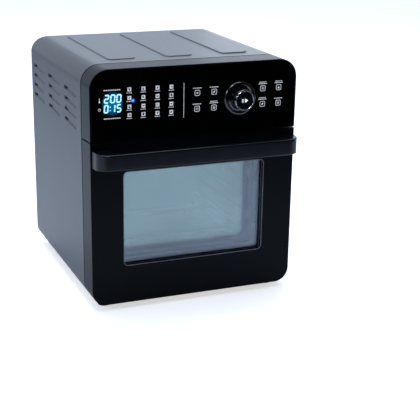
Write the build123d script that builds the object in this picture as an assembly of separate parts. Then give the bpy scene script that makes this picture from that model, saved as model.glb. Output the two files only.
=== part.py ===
from build123d import *
import math
import os

# Air-fryer toaster oven. Millimetres, +Z up, X to the right and +Y to the back as one faces the door.
# The origin is on the surface the feet stand on, at the centre of the oven's width and overall depth.

# Case
WIDTH = 330.0
CASE_BOTTOM = 10.0
CASE_TOP = 373.5
TOP_RADIUS = 29.0
BOTTOM_RADIUS = 23.0
BACK_RADIUS = 27.0
FACE = -162.0
FRONT_DEPTH = 43.0
SEAM = 2.5
CASE_BACK = 182.0
SHEET = 1.0
PAN_TOP = 20.0
WRAP_FRONT = FACE + FRONT_DEPTH + SEAM
FRAME_FRONT = FACE + FRONT_DEPTH + 3.0
FRAME_SHEET = 1.2
FRAME_BACK = FRAME_FRONT + FRAME_SHEET
INNER_INSET = 1.3
FAR = 400.0

# Embossed pads on the top and scoops in the flanks
PAD_CENTRES = (-92.0, 0.0, 92.0)
PAD_WIDTH = 45.0
PAD_START = FACE + 70.0
PAD_LENGTH = 232.0
PAD_HEIGHT = 1.6
SCOOP_COLUMNS = (70.0, 165.5, 261.0)
SCOOP_LENGTH = 66.0
SCOOP_TOP = 322.0
SCOOP_PITCH = 16.3
SCOOP_ROWS = 4
SCOOP_HEIGHT = 7.0
SCOOP_DEPTH = 2.0
SCOOP_SLOPE = 40.0
SCOOP_MOUTH = (11.0, 4.2)
SCOOP_TILT = 2.5

# Door and its hinge
WALL = 3.0
FRONT_WALL = 3.5
PIVOT_Y = FACE + 8.0
PIVOT_Z = 44.0
DOOR_TOP_RADIUS = 221.3
DOOR_HEEL_RADIUS = 35.0
DOOR_GAP = 1.9
HEEL_GAP = 1.0
WINDOW_HALF = 114.5
WINDOW_LOW = 71.0
WINDOW_HIGH = 219.0
WINDOW_RADIUS = 7.0
REVEAL = 7.5
GLASS = 4.0
GLASS_LAP = 6.5
ARM_IN = 145.0
ARM_OUT = 151.0
ARM_SLOT = 1.4
EYE_RADIUS = 4.2
PIN_RADIUS = 2.5
RUN_CLEARANCE = 0.05
PANEL_LOW = PIVOT_Z + 6.0
PANEL_HIGH = 258.0
PANEL_RIM = 10.0

# Handle
HANDLE_REACH = 32.0
HANDLE_LOW = 230.0
HANDLE_HIGH = 255.0
HANDLE_HALF = 163.0
HANDLE_CORNER = 20.0
HANDLE_BAR = 9.0
GRIP_HALF = 136.0
HANDLE_SOFT = 3.0

# Control section
RIM = 2.5
GLASS_BOTTOM = 268.0
TOUCH_GLASS = 1.8
KNOB_X = 69.1
KNOB_Z = 318.5
KNOB_FLANGE = 25.8
KNOB_RADIUS = 16.5
KNOB_REACH = 22.0
KNOB_LIFT = 1.5
RING_OUTER = 15.0
RING_INNER = 13.6
SHAFT_RADIUS = 3.0
CORE_RADIUS = 5.0
BOARD_Y = FACE + 18.0

# Oven cavity
CAVITY_HALF = 125.0
CAVITY_LOW = 55.0
CAVITY_HIGH = 255.0
CAVITY_BACK = 142.0
LINER = 0.8
RAIL_X = 119.0
RAIL_RADIUS = 2.0
RAIL_LEVELS = (82.0, 108.0, 134.0, 166.0, 192.0, 218.0)
RAIL_FRONT = -98.0
RAIL_REAR = 128.0

# Fan and heaters
FAN_Y = 10.0
FAN_HOLE = 104.0
DOME_RADIUS = 110.0
DOME_TOP = 292.0
MOTOR_RADIUS = 30.0
MOTOR_LOW = 298.0
MOTOR_HIGH = 330.0
FAN_SHAFT = 4.0
SHIELD_Z = 296.0
ELEMENT_RADIUS = 3.3

# Rotisserie drive
SPIT_Y = 10.0
SPIT_Z = 150.0
SPIT_HUB = 7.5
SPIT_SQUARE = 7.6

# Lamp
LAMP_Y = 95.0
LAMP_Z = 205.0

# Feet
FOOT_RADIUS = 12.0
FOOT_X = 138.0
FOOT_YS = (FACE + 31.0, 150.0)
FOOT_TAPER = 2.0

# Back of the case
BACK_SCREW_PLACES = [(x, z) for z in (30.0, 130.0, 330.0) for x in (-150.0, 150.0)]
SPACER_X = 100.0
SPACER_Z = 190.0
SPACER_REACH = 12.0
CORD_X = -110.0
CORD_Z = 60.0

# Lower element and probe
LOWER_ELEMENT_YS = (-45.0, 75.0)
LOWER_ELEMENT_Z = 68.0
PROBE_X = 70.0
PROBE_Z = 232.0

# Upper element
UPPER_RINGS = (92.0, 72.0)
UPPER_Z = 266.0
UPPER_TAILS = (-9.0, 9.0)
UPPER_TAIL_Y = FAN_Y + UPPER_RINGS[0]

# Power board
STANDOFF_PLACES = [(x, y) for x in (-138.0, -78.0) for y in (70.0, 140.0)]
POWER_BOARD_Z = 303.0

# Door switch
SWITCH_X = -148.0
SWITCH_Z = 235.0
PLUNGER_RADIUS = 2.5

# Handle screws
HANDLE_SCREW_PLACES = [(x, z) for x in (-149.0, 149.0) for z in (236.0, 249.0)]


def block(x, y, z):
    """Box between two limits along each axis."""
    size = Box(x[1] - x[0], y[1] - y[0], z[1] - z[0])
    return Pos((x[0] + x[1]) / 2, (y[0] + y[1]) / 2, (z[0] + z[1]) / 2) * size


def rod_x(x, y, z, radius):
    """Round bar along X."""
    return Pos((x[0] + x[1]) / 2, y, z) * Rot(0, 90, 0) * Cylinder(radius, x[1] - x[0])


def rod_y(x, y, z, radius):
    """Round bar along Y."""
    return Pos(x, (y[0] + y[1]) / 2, z) * Rot(90, 0, 0) * Cylinder(radius, y[1] - y[0])


def rod_z(x, y, z, radius):
    """Round bar along Z."""
    return Pos(x, y, (z[0] + z[1]) / 2) * Cylinder(radius, z[1] - z[0])


def both(shape):
    """A right-hand piece and its mirror image on the left, as two solids."""
    return Compound(children=[shape, mirror(shape, about=Plane.YZ)])


def front_view(sketch, y):
    """Extrude a sketch drawn in X and Z from one depth to another."""
    plane = Plane(origin=(0, y[0], 0), x_dir=(1, 0, 0), z_dir=(0, -1, 0))
    return extrude(plane * sketch, amount=y[0] - y[1])


def case_outline(inset):
    """Outline of the oven as seen from the front, drawn in by an inset."""
    outline = Rectangle(WIDTH - 2 * inset, CASE_TOP - CASE_BOTTOM - 2 * inset)
    outline = fillet(outline.vertices().group_by(Axis.Y)[-1], TOP_RADIUS - inset)
    outline = fillet(outline.vertices().group_by(Axis.Y)[0], BOTTOM_RADIUS - inset)
    return Pos(0, (CASE_TOP + CASE_BOTTOM) / 2) * outline


def window_outline(grow, radius):
    """Rounded rectangle around the door window."""
    width = 2 * (WINDOW_HALF + grow)
    height = WINDOW_HIGH - WINDOW_LOW + 2 * grow
    return Pos(0, (WINDOW_HIGH + WINDOW_LOW) / 2) * RectangleRounded(width, height, radius)


def case_body(inset, y):
    """Case volume: the front outline with its upper back edge rounded."""
    back = CASE_BACK - inset
    side = block((-FAR, FAR), (FACE, back), (0, CASE_TOP - inset))
    edge = side.edges().filter_by(Axis.X).group_by(Axis.Z)[-1].sort_by(Axis.Y)[-1]
    side = fillet(edge, BACK_RADIUS - inset)
    return front_view(case_outline(inset), y) & side


def pivot_cylinder(radius, half=FAR):
    """Cylinder about the door's hinge axis."""
    return rod_x((-half, half), PIVOT_Y, PIVOT_Z, radius)


# ---- case ----

def scoop(y_front, z):
    """Right-flank air scoop: the pressed sheet, and the channel with its open mouth at the rear."""
    rise = math.tan(math.radians(SCOOP_TILT))
    centre = (WIDTH / 2, y_front + SCOOP_LENGTH / 2, z + rise * SCOOP_LENGTH / 2)
    plane = Plane(origin=centre, x_dir=(0, 1, rise), z_dir=(-1, 0, 0))
    grown = 2 * SHEET
    outside = plane * SlotOverall(SCOOP_LENGTH + grown, SCOOP_HEIGHT + grown)
    inside = plane * SlotOverall(SCOOP_LENGTH, SCOOP_HEIGHT)
    skin = extrude(outside, amount=SCOOP_DEPTH + SHEET, taper=SCOOP_SLOPE)
    channel = extrude(inside, amount=SCOOP_DEPTH, taper=SCOOP_SLOPE)
    long, tall = SCOOP_MOUTH
    rear = SCOOP_LENGTH / 2 - SCOOP_HEIGHT / 2 - long / 2 + 1
    mouth = extrude(plane * Pos(rear, 0) * SlotOverall(long, tall), amount=SCOOP_DEPTH + 3 * SHEET)
    return skin, channel + mouth


def outer_wrapper():
    """Sheet wrapper for both flanks and the top, with pads on the top and scoops in the flanks."""
    span = (WRAP_FRONT, CASE_BACK)
    shell = case_body(0, span) - case_body(SHEET, (WRAP_FRONT - 1, CASE_BACK))
    shell -= block((-FAR, FAR), (FACE, FAR), (0, PAN_TOP + 0.1))
    back_hole = block((-FAR, FAR), (CASE_BACK - SHEET, FAR), (0, CASE_TOP - BACK_RADIUS))
    shell -= back_hole & front_view(case_outline(SHEET), (CASE_BACK - 5, CASE_BACK + 5))
    for centre in PAD_CENTRES:
        pad = Box(PAD_WIDTH, PAD_LENGTH, PAD_HEIGHT)
        pad = fillet(pad.edges().filter_by(Axis.Z), 8)
        pad = chamfer(pad.faces().sort_by(Axis.Z)[-1].edges(), PAD_HEIGHT * 0.6)
        shell += Pos(centre, PAD_START + PAD_LENGTH / 2, CASE_TOP + PAD_HEIGHT / 2) * pad
    for column in SCOOP_COLUMNS:
        for row in range(SCOOP_ROWS):
            skin, pocket = scoop(FACE + column, SCOOP_TOP - row * SCOOP_PITCH)
            shell = shell + skin + mirror(skin, about=Plane.YZ)
            shell = shell - pocket - mirror(pocket, about=Plane.YZ)
    return shell


def back_panel():
    """Flat back sheet with vent slots, screw holes and the cord hole."""
    panel = front_view(case_outline(INNER_INSET), (CASE_BACK - SHEET, CASE_BACK))
    panel -= block((-FAR, FAR), (0, FAR), (CASE_TOP - BACK_RADIUS - 0.1, FAR))
    for row in range(6):
        for column in range(-4, 5):
            slot = SlotOverall(22, 4)
            centre = Pos(column * 28.0, 270 + row * 11.0)
            panel -= front_view(centre * slot, (CASE_BACK - 5, CASE_BACK + 5))
    for x, z in BACK_SCREW_PLACES:
        panel -= rod_y(x, (CASE_BACK - 5, CASE_BACK + 5), z, 1.6)
    for x in (-SPACER_X, SPACER_X):
        panel -= rod_y(x, (CASE_BACK - 5, CASE_BACK + 5), SPACER_Z, 3)
    return panel - rod_y(CORD_X, (CASE_BACK - 5, CASE_BACK + 5), CORD_Z, 8)


def base_pan():
    """Bottom sheet, curled up to meet the wrapper."""
    span = (FRAME_BACK + 0.1, CASE_BACK - SHEET - 0.1)
    pan = front_view(case_outline(0), (WRAP_FRONT, CASE_BACK)) - front_view(case_outline(1.2), (FACE, FAR))
    pan -= block((-FAR, FAR), (FACE, FAR), (PAN_TOP, FAR))
    floor_trim = block((-140, 140), (FACE, span[0]), (0, PAN_TOP))
    pan -= floor_trim
    for x in (-FOOT_X, FOOT_X):
        pan -= rod_z(x, FOOT_YS[1], (0, PAN_TOP), 2.1)
    for column in range(-3, 4):
        for row in range(3):
            slot = Pos(column * 30.0, -60 + row * 60.0) * SlotOverall(20, 5)
            pan -= extrude(slot, amount=PAN_TOP)
    return pan


def sill():
    """Fixed rail under the door, hollowed about the door's hinge axis."""
    rail = front_view(case_outline(0), (FACE, WRAP_FRONT - 0.1))
    tongue = front_view(case_outline(INNER_INSET), (WRAP_FRONT - 1, FRAME_FRONT))
    rail = rail + tongue
    rail -= block((-FAR, FAR), (FACE - 1, FAR), (PIVOT_Z - 9, FAR))
    rail -= block((-FAR, FAR), (FACE - 1, PIVOT_Y), (0, FAR))
    rail -= pivot_cylinder(DOOR_HEEL_RADIUS + HEEL_GAP)
    for x in (-FOOT_X, FOOT_X):
        rail -= rod_z(x, FOOT_YS[0], (0, 16), 2)
    return rail


def front_frame():
    """Face frame that ties the wrapper, liner, sill and hinge arms together."""
    frame = front_view(case_outline(INNER_INSET), (FRAME_FRONT, FRAME_BACK))
    through = (FRAME_FRONT - 1, FRAME_BACK + 1)
    frame -= block((-CAVITY_HALF, CAVITY_HALF), through, (CAVITY_LOW, CAVITY_HIGH))
    frame -= block((-140, 140), through, (278, 352))
    return frame - rod_y(SWITCH_X, through, SWITCH_Z, PLUNGER_RADIUS + RUN_CLEARANCE)


def feet():
    """Four rubber feet, slightly tapered, drilled for their screws."""
    made = []
    for x in (-FOOT_X, FOOT_X):
        for y in FOOT_YS:
            foot = Cone(FOOT_RADIUS - FOOT_TAPER, FOOT_RADIUS, CASE_BOTTOM)
            foot = Pos(x, y, CASE_BOTTOM / 2) * foot
            foot -= rod_z(x, y, (-1, CASE_BOTTOM + 1), 2)
            foot -= rod_z(x, y, (-1, 4), 4)
            made.append(foot)
    return Compound(children=made)


def foot_screws():
    """Pan-head screws that hold the feet."""
    made = []
    for x in (-FOOT_X, FOOT_X):
        for y in FOOT_YS:
            made.append(rod_z(x, y, (1.5, 4), 4) + rod_z(x, y, (4, 15), 2))
    return Compound(children=made)


def rear_spacers():
    """Two bumpers that keep the oven off the wall, each with a peg through the back panel."""
    made = []
    for x in (-SPACER_X, SPACER_X):
        bumper = rod_y(x, (CASE_BACK, CASE_BACK + SPACER_REACH), SPACER_Z, 11)
        bumper = fillet(bumper.edges().sort_by(Axis.Y)[-1], 3)
        made.append(bumper + rod_y(x, (CASE_BACK - 6, CASE_BACK), SPACER_Z, 3))
    return Compound(children=made)


def back_screws():
    """Screws around the back panel."""
    made = []
    for x, z in BACK_SCREW_PLACES:
        head = rod_y(x, (CASE_BACK, CASE_BACK + 1.8), z, 3.5)
        made.append(head + rod_y(x, (CASE_BACK - 6, CASE_BACK), z, 1.5))
    return Compound(children=made)


def cord_bushing():
    """Grommet in the back panel where a supply cord would pass."""
    grommet = rod_y(CORD_X, (CASE_BACK - 6, CASE_BACK + 6), CORD_Z, 8)
    grommet += rod_y(CORD_X, (CASE_BACK, CASE_BACK + 3), CORD_Z, 11)
    grommet += rod_y(CORD_X, (CASE_BACK - 4, CASE_BACK - SHEET), CORD_Z, 10)
    return grommet - rod_y(CORD_X, (CASE_BACK - 10, CASE_BACK + 10), CORD_Z, 3.6)


# ---- control section ----

def control_bezel():
    """Upper front moulding, recessed for the touch glass and open at the back."""
    bezel = front_view(case_outline(0), (FACE, FACE + FRONT_DEPTH))
    bezel -= block((-FAR, FAR), (FACE - 1, FAR), (0, PIVOT_Z + 100))
    bezel -= pivot_cylinder(DOOR_TOP_RADIUS + DOOR_GAP)
    hollow = front_view(case_outline(WALL), (FACE + 5, FACE + FRONT_DEPTH + 1))
    hollow -= pivot_cylinder(DOOR_TOP_RADIUS + DOOR_GAP + WALL)
    hollow -= block((-FAR, FAR), (FACE, FAR), (0, PIVOT_Z + 100))
    bezel -= hollow
    recess = front_view(case_outline(RIM), (FACE - 1, FACE + 2))
    recess -= block((-FAR, FAR), (FACE - 5, FAR), (0, GLASS_BOTTOM))
    bezel -= recess
    bezel -= rod_y(KNOB_X, (FACE, FACE + 6), KNOB_Z, 6)
    bezel -= block((-154, -106), (FACE, FACE + 6), (302, 344))
    bezel -= block((-110, -28), (FACE, FACE + 6), (296, 350))
    for z in (290.0, 330.0):
        for x in (-162.5, 157.0):
            bezel += block((x, x + 5.5), (FACE + 38, FRAME_FRONT), (z, z + 10))
    return bezel


def control_glass():
    """Black touch glass that covers the control section."""
    pane = front_view(case_outline(RIM + 0.1), (FACE + 0.2, FACE + 2))
    pane -= block((-FAR, FAR), (FACE - 5, FAR), (0, GLASS_BOTTOM + 0.1))
    return pane - rod_y(KNOB_X, (FACE - 1, FACE + 3), KNOB_Z, 4)


def display_module():
    """Lit numeric display behind the glass."""
    case = block((-153, -114), (FACE + 2, FACE + 12), (303, 343))
    return case + block((-150, -117), (FACE + 12, BOARD_Y), (308, 338))


def icon_light_guide():
    """Light guide behind the preset icons, with a cell for each lamp."""
    guide = block((-109.5, -29), (FACE + 2, FACE + 12), (297, 349))
    for x in (-104.7, -83.2, -61.4, -39.7):
        for z in (303.9, 316.3, 329.1, 341.6):
            guide -= block((x - 4, x + 4), (FACE + 4, FACE + 13), (z - 4, z + 4))
    return guide


def control_board():
    """Main control board behind the panel."""
    board = block((-155, 155), (BOARD_Y, BOARD_Y + 1.6), (284, 358))
    for x, z, width, height in ((-60, 320, 24, 24), (20, 330, 14, 10), (120, 320, 30, 20), (-10, 300, 18, 8)):
        board += block((x, x + width), (BOARD_Y + 1.6, BOARD_Y + 6), (z, z + height))
    return board


def control_box_cover():
    """Sheet cover that closes the control box against heat."""
    plate = block((-156, 156), (FACE + 40, FACE + 41), (276, 342))
    plate += block((-150, 150), (FACE + 36, FACE + 40), (276, 277))
    return plate


def encoder_housing():
    """Rotary encoder body, fixed on the board, with a bore for its sliding core."""
    box = block((KNOB_X - 8, KNOB_X + 8), (FACE + 9, BOARD_Y), (KNOB_Z - 8, KNOB_Z + 8))
    return box - rod_y(KNOB_X, (FACE + 8, BOARD_Y - 1), KNOB_Z, CORE_RADIUS + RUN_CLEARANCE)


def encoder_core():
    """Sleeve that slides in with the knob when it is pressed."""
    sleeve = rod_y(KNOB_X, (FACE + 8, BOARD_Y - 2.5), KNOB_Z, CORE_RADIUS)
    return sleeve - rod_y(KNOB_X, (FACE + 7, BOARD_Y - 3.9), KNOB_Z, SHAFT_RADIUS + RUN_CLEARANCE)


def knob_shaft():
    """Shaft that the knob is pushed onto, turning in the encoder core."""
    return rod_y(KNOB_X, (FACE - 14, BOARD_Y - 4.2), KNOB_Z, SHAFT_RADIUS)


def knob():
    """Turned knob: a broad flange, a waist and a straight drum, with a groove for its ring."""
    front = KNOB_REACH
    back = KNOB_LIFT
    waist = KNOB_RADIUS + 3.5
    edge = KNOB_FLANGE
    path = Polyline((0, back), (edge - 1, back), (edge, back + 1.5))
    rim = ThreePointArc((edge, back + 1.5), (edge - 0.8, back + 3.2), (edge - 2.5, back + 4))
    slope = Line((edge - 2.5, back + 4), (waist, back + 3))
    cove = ThreePointArc((waist, back + 3), (KNOB_RADIUS + 0.9, back + 4), (KNOB_RADIUS, back + 7))
    drum = Polyline((KNOB_RADIUS, back + 7), (KNOB_RADIUS, front - 1.5), (KNOB_RADIUS - 1.5, front),
                    (0, front), (0, back))
    section = make_face(path + rim + slope + cove + drum)
    body = revolve(Plane.XY * section, axis=Axis.Y)
    body = Pos(KNOB_X, FACE, KNOB_Z) * Rot(180, 0, 0) * body
    body -= rod_y(KNOB_X, (FACE - 14, FACE), KNOB_Z, SHAFT_RADIUS)
    groove = rod_y(KNOB_X, (FACE - front - 1, FACE - front + 0.8), KNOB_Z, RING_OUTER)
    groove -= rod_y(KNOB_X, (FACE - front - 1, FACE - front + 1), KNOB_Z, RING_INNER)
    return body - groove


def knob_ring():
    """Chrome ring let into the knob's front."""
    ring = rod_y(KNOB_X, (FACE - KNOB_REACH - 0.2, FACE - KNOB_REACH + 0.8), KNOB_Z, RING_OUTER)
    return ring - rod_y(KNOB_X, (FACE - KNOB_REACH - 1, FACE - KNOB_REACH + 1), KNOB_Z, RING_INNER)


# ---- oven cavity ----

def cavity_liner():
    """Folded box open at the front, with holes for the fan, lamp, drive, probe and lower element."""
    outer = block((-CAVITY_HALF - LINER, CAVITY_HALF + LINER), (FRAME_BACK, CAVITY_BACK + LINER),
                  (CAVITY_LOW - LINER, CAVITY_HIGH + LINER))
    inner = block((-CAVITY_HALF, CAVITY_HALF), (FRAME_BACK - 1, CAVITY_BACK), (CAVITY_LOW, CAVITY_HIGH))
    box = outer - inner
    box -= rod_z(0, FAN_Y, (CAVITY_HIGH - 5, CAVITY_HIGH + 5), FAN_HOLE)
    side = (CAVITY_HALF - 5, CAVITY_HALF + 5)
    box -= rod_x(side, SPIT_Y, SPIT_Z, 11)
    box -= rod_x(side, LAMP_Y, LAMP_Z, 17)
    for y in LOWER_ELEMENT_YS:
        box -= rod_x(side, y, LOWER_ELEMENT_Z, ELEMENT_RADIUS)
    return box - rod_y(PROBE_X, (CAVITY_BACK - 5, CAVITY_BACK + 5), PROBE_Z, 3)


def rack_rail(side):
    """Wire ladder on one cavity wall that carries the racks."""
    x = side * RAIL_X
    ladder = None
    for z in RAIL_LEVELS:
        bar = rod_y(x, (RAIL_FRONT, RAIL_REAR), z, RAIL_RADIUS)
        ladder = bar if ladder is None else ladder + bar
    for y in (RAIL_FRONT + 4, RAIL_REAR - 4):
        ladder += rod_z(x, y, (RAIL_LEVELS[0], RAIL_LEVELS[-1]), RAIL_RADIUS)
        for z in (RAIL_LEVELS[0] + 15, RAIL_LEVELS[-1] - 15):
            reach = sorted((x, side * CAVITY_HALF))
            ladder += rod_x(reach, y, z, 1.6)
    return ladder


def door_seal():
    """Silicone seal around the cavity mouth."""
    y = (FACE + FRONT_DEPTH + 0.4, FRAME_FRONT)
    middle = Pos(0, (CAVITY_LOW + CAVITY_HIGH) / 2)
    outer = middle * RectangleRounded(2 * CAVITY_HALF + 14, CAVITY_HIGH - CAVITY_LOW + 10, 10)
    inner = middle * RectangleRounded(2 * CAVITY_HALF + 4, CAVITY_HIGH - CAVITY_LOW + 2, 6)
    return front_view(outer - inner, y)


def hinge_arms():
    """Two fixed arms from the front frame to the door's hinge axis."""
    foot_front = FRAME_FRONT - 2.4
    arm = rod_x((ARM_IN, ARM_OUT), PIVOT_Y, PIVOT_Z, EYE_RADIUS)
    arm += block((ARM_IN, ARM_OUT), (PIVOT_Y, FRAME_FRONT), (PIVOT_Z - EYE_RADIUS, PIVOT_Z + EYE_RADIUS))
    arm += block((138, ARM_OUT), (foot_front, FRAME_FRONT), (PIVOT_Z - 6, PIVOT_Z + 8))
    arm -= rod_x((ARM_IN - 1, ARM_OUT + 1), PIVOT_Y, PIVOT_Z, PIN_RADIUS + RUN_CLEARANCE)
    return both(arm)


def crumb_tray():
    """Shallow tray on the cavity floor."""
    tray = block((-117, 117), (FRAME_BACK + 6, CAVITY_BACK - 3), (CAVITY_LOW, CAVITY_LOW + 6))
    tray -= block((-116, 116), (FRAME_BACK + 7, CAVITY_BACK - 4), (CAVITY_LOW + 1, CAVITY_LOW + 9))
    return tray


def element_run(points, bends, radius):
    """Sheathed heating element along straight runs with round bends."""
    path = FilletPolyline(*points, radius=bends)
    start = Plane(origin=path @ 0, z_dir=path % 0)
    return sweep(start * Circle(radius), path=path)


def bottom_element():
    """Hairpin element above the cavity floor, its tails through the right wall."""
    z = LOWER_ELEMENT_Z
    near, far = LOWER_ELEMENT_YS
    tail = CAVITY_HALF + 12
    points = ((tail, near, z), (-102, near, z), (-102, far, z), (tail, far, z))
    return element_run(points, 22.0, ELEMENT_RADIUS)


def element_clips():
    """Posts that carry the lower element."""
    made = []
    for x in (-80.0, 80.0):
        for y in LOWER_ELEMENT_YS:
            post = block((x - 1, x + 1), (y - 5, y + 5), (CAVITY_LOW + 1, LOWER_ELEMENT_Z + 5))
            made.append(post - rod_x((x - 2, x + 2), y, LOWER_ELEMENT_Z, ELEMENT_RADIUS))
    return Compound(children=made)


# ---- fan, heat and electrics ----

def fan_housing():
    """Drum over the cavity ceiling that holds the fan and the upper element."""
    low = CAVITY_HIGH + LINER
    drum = rod_z(0, FAN_Y, (low, DOME_TOP), DOME_RADIUS)
    drum += rod_z(0, FAN_Y, (low, low + LINER), DOME_RADIUS + 6)
    drum -= rod_z(0, FAN_Y, (low + LINER, DOME_TOP - 1), DOME_RADIUS - 1)
    drum -= rod_z(0, FAN_Y, (low - 1, low + 2), FAN_HOLE)
    drum -= rod_z(0, FAN_Y, (low, DOME_TOP + 1), 6)
    for x in UPPER_TAILS:
        drum -= rod_z(x, UPPER_TAIL_Y, (low + 9, DOME_TOP + 1), ELEMENT_RADIUS)
    return drum


def ring_bar(radius, z, wire):
    """Round wire bent into a ring about the fan's axis."""
    return Pos(0, FAN_Y, z) * Torus(radius, wire)


def fan_guard():
    """Wire guard under the fan."""
    z = CAVITY_HIGH + 3 * LINER + 0.7
    guard = ring_bar(106, z, 1.2)
    for radius in (88, 70, 52, 34, 16):
        guard += ring_bar(radius, z, 1.2)
    for turn in (0, 60, 120):
        bar = rod_x((-106, 106), 0, 0, 1.2)
        guard += Pos(0, FAN_Y, z) * Rot(0, 0, turn) * bar
    return guard


def top_element():
    """Double-ring element around the fan, its tails up through the drum."""
    outer, inner = UPPER_RINGS
    gap = math.degrees(math.asin(UPPER_TAILS[1] / outer))
    ring = Pos(0, FAN_Y, UPPER_Z) * Torus(outer, ELEMENT_RADIUS)
    ring -= block(UPPER_TAILS, (FAN_Y + outer / 2, FAN_Y + outer + 9), (UPPER_Z - 9, UPPER_Z + 9))
    ring += Pos(0, FAN_Y, UPPER_Z) * Torus(inner, ELEMENT_RADIUS)
    for turn in (70, 110, 190, 270, 350):
        bridge = rod_x((inner, outer), 0, 0, ELEMENT_RADIUS * 0.6)
        ring += Pos(0, FAN_Y, UPPER_Z) * Rot(0, 0, turn + gap) * bridge
    for x in UPPER_TAILS:
        ring += Pos(x, UPPER_TAIL_Y - 0.4, UPPER_Z) * Sphere(ELEMENT_RADIUS)
        ring += rod_z(x, UPPER_TAIL_Y, (UPPER_Z, DOME_TOP + 12), ELEMENT_RADIUS)
    return ring


def fan_shaft():
    """Motor shaft that carries both fans."""
    return rod_z(0, FAN_Y, (266, 352), FAN_SHAFT)


def bladed_wheel(hub, tip, z, count):
    """Hub with flat upright blades, bored for the shaft."""
    wheel = rod_z(0, FAN_Y, z, hub)
    blade = block((hub - 2, tip), (-0.7, 0.7), z)
    for step in range(count):
        wheel += Pos(0, FAN_Y, 0) * Rot(0, 0, step * 360 / count) * blade
    return wheel - rod_z(0, FAN_Y, (z[0] - 1, z[1] + 1), FAN_SHAFT)


def impeller():
    """Convection fan in the drum."""
    wheel = bladed_wheel(12.0, 54.0, (268.0, 284.0), 10)
    plate = rod_z(0, FAN_Y, (284.0, 285.2), 54.0) - rod_z(0, FAN_Y, (280.0, 290.0), FAN_SHAFT)
    return wheel + plate


def cooling_fan():
    """Small fan above the motor that cools the electronics."""
    return bladed_wheel(10.0, 44.0, (338.0, 350.0), 8)


def fan_motor():
    """Fan motor on four legs above the drum."""
    can = rod_z(0, FAN_Y, (MOTOR_LOW, MOTOR_HIGH), MOTOR_RADIUS)
    can = chamfer(can.edges().filter_by(GeomType.CIRCLE), 2)
    can += rod_z(0, FAN_Y, (MOTOR_HIGH, MOTOR_HIGH + 4), 10)
    for turn in (45, 135, 225, 315):
        x = 24 * math.cos(math.radians(turn))
        y = FAN_Y + 24 * math.sin(math.radians(turn))
        can += rod_z(x, y, (DOME_TOP, MOTOR_LOW), 3)
    return can - rod_z(0, FAN_Y, (DOME_TOP, MOTOR_HIGH + 5), FAN_SHAFT + RUN_CLEARANCE)


def heat_shield():
    """Shelf between the hot drum and the electronics."""
    half = WIDTH / 2 - INNER_INSET
    shelf = block((-half, half), (FRAME_BACK + 0.1, CASE_BACK - SHEET - 0.1), (SHIELD_Z, SHIELD_Z + 1))
    shelf -= rod_z(0, FAN_Y, (SHIELD_Z - 1, SHIELD_Z + 2), MOTOR_RADIUS + 5)
    for x in UPPER_TAILS:
        shelf -= rod_z(x, UPPER_TAIL_Y, (SHIELD_Z - 1, SHIELD_Z + 2), ELEMENT_RADIUS + 2)
    depth = SCOOP_DEPTH + 3
    for side in (-1, 1):
        edge = sorted((side * (half - depth), side * (half + 1)))
        shelf -= block(edge, (FACE + 60, FACE + 335), (SHIELD_Z - 1, SHIELD_Z + 2))
    for x, y in STANDOFF_PLACES:
        shelf -= rod_z(x, y, (SHIELD_Z - 1, SHIELD_Z + 2), 1.5)
    return shelf


def power_board():
    """Power board with its relays, transformer and capacitor."""
    board = block((-144, -72), (64, 146), (POWER_BOARD_Z, POWER_BOARD_Z + 1.6))
    top = POWER_BOARD_Z + 1.6
    board += block((-135, -110), (80, 105), (top, top + 20))
    board += block((-102, -86), (80, 100), (top, top + 15))
    board += block((-102, -86), (108, 128), (top, top + 15))
    board += rod_z(-122, 122, (top, top + 18), 8)
    for x, y in STANDOFF_PLACES:
        board -= rod_z(x, y, (POWER_BOARD_Z - 1, top + 1), 1.5)
    return board


def board_standoffs():
    """Pillars between the shelf and the power board."""
    made = []
    for x, y in STANDOFF_PLACES:
        pillar = rod_z(x, y, (SHIELD_Z + 1, POWER_BOARD_Z), 3)
        made.append(pillar + rod_z(x, y, (SHIELD_Z - 1, POWER_BOARD_Z + 3), 1.5))
    return Compound(children=made)


def rotisserie_motor():
    """Slow geared motor outside the right cavity wall."""
    box = block((130, 152), (SPIT_Y - 24, SPIT_Y + 24), (SPIT_Z - 24, SPIT_Z + 24))
    box = fillet(box.edges().filter_by(Axis.X), 6)
    for y in (SPIT_Y - 20, SPIT_Y + 20):
        box += rod_x((CAVITY_HALF + LINER, 131), y, SPIT_Z + 18, 3)
        box += rod_x((CAVITY_HALF + LINER, 131), y, SPIT_Z - 18, 3)
    return box - rod_x((129, 146), SPIT_Y, SPIT_Z, SPIT_HUB + RUN_CLEARANCE)


def rotisserie_bushing():
    """Flanged bush in the right cavity wall for the drive socket."""
    bush = rod_x((CAVITY_HALF - 2, CAVITY_HALF), SPIT_Y, SPIT_Z, 14)
    bush += rod_x((CAVITY_HALF, CAVITY_HALF + 3), SPIT_Y, SPIT_Z, 11)
    return bush - rod_x((CAVITY_HALF - 5, CAVITY_HALF + 5), SPIT_Y, SPIT_Z, SPIT_HUB + RUN_CLEARANCE)


def rotisserie_socket():
    """Turning socket with a square hole that takes the end of a spit."""
    hub = rod_x((CAVITY_HALF - 7, 145), SPIT_Y, SPIT_Z, SPIT_HUB)
    square = Pos(CAVITY_HALF, SPIT_Y, SPIT_Z) * Box(18, SPIT_SQUARE, SPIT_SQUARE)
    return hub - square


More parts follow.
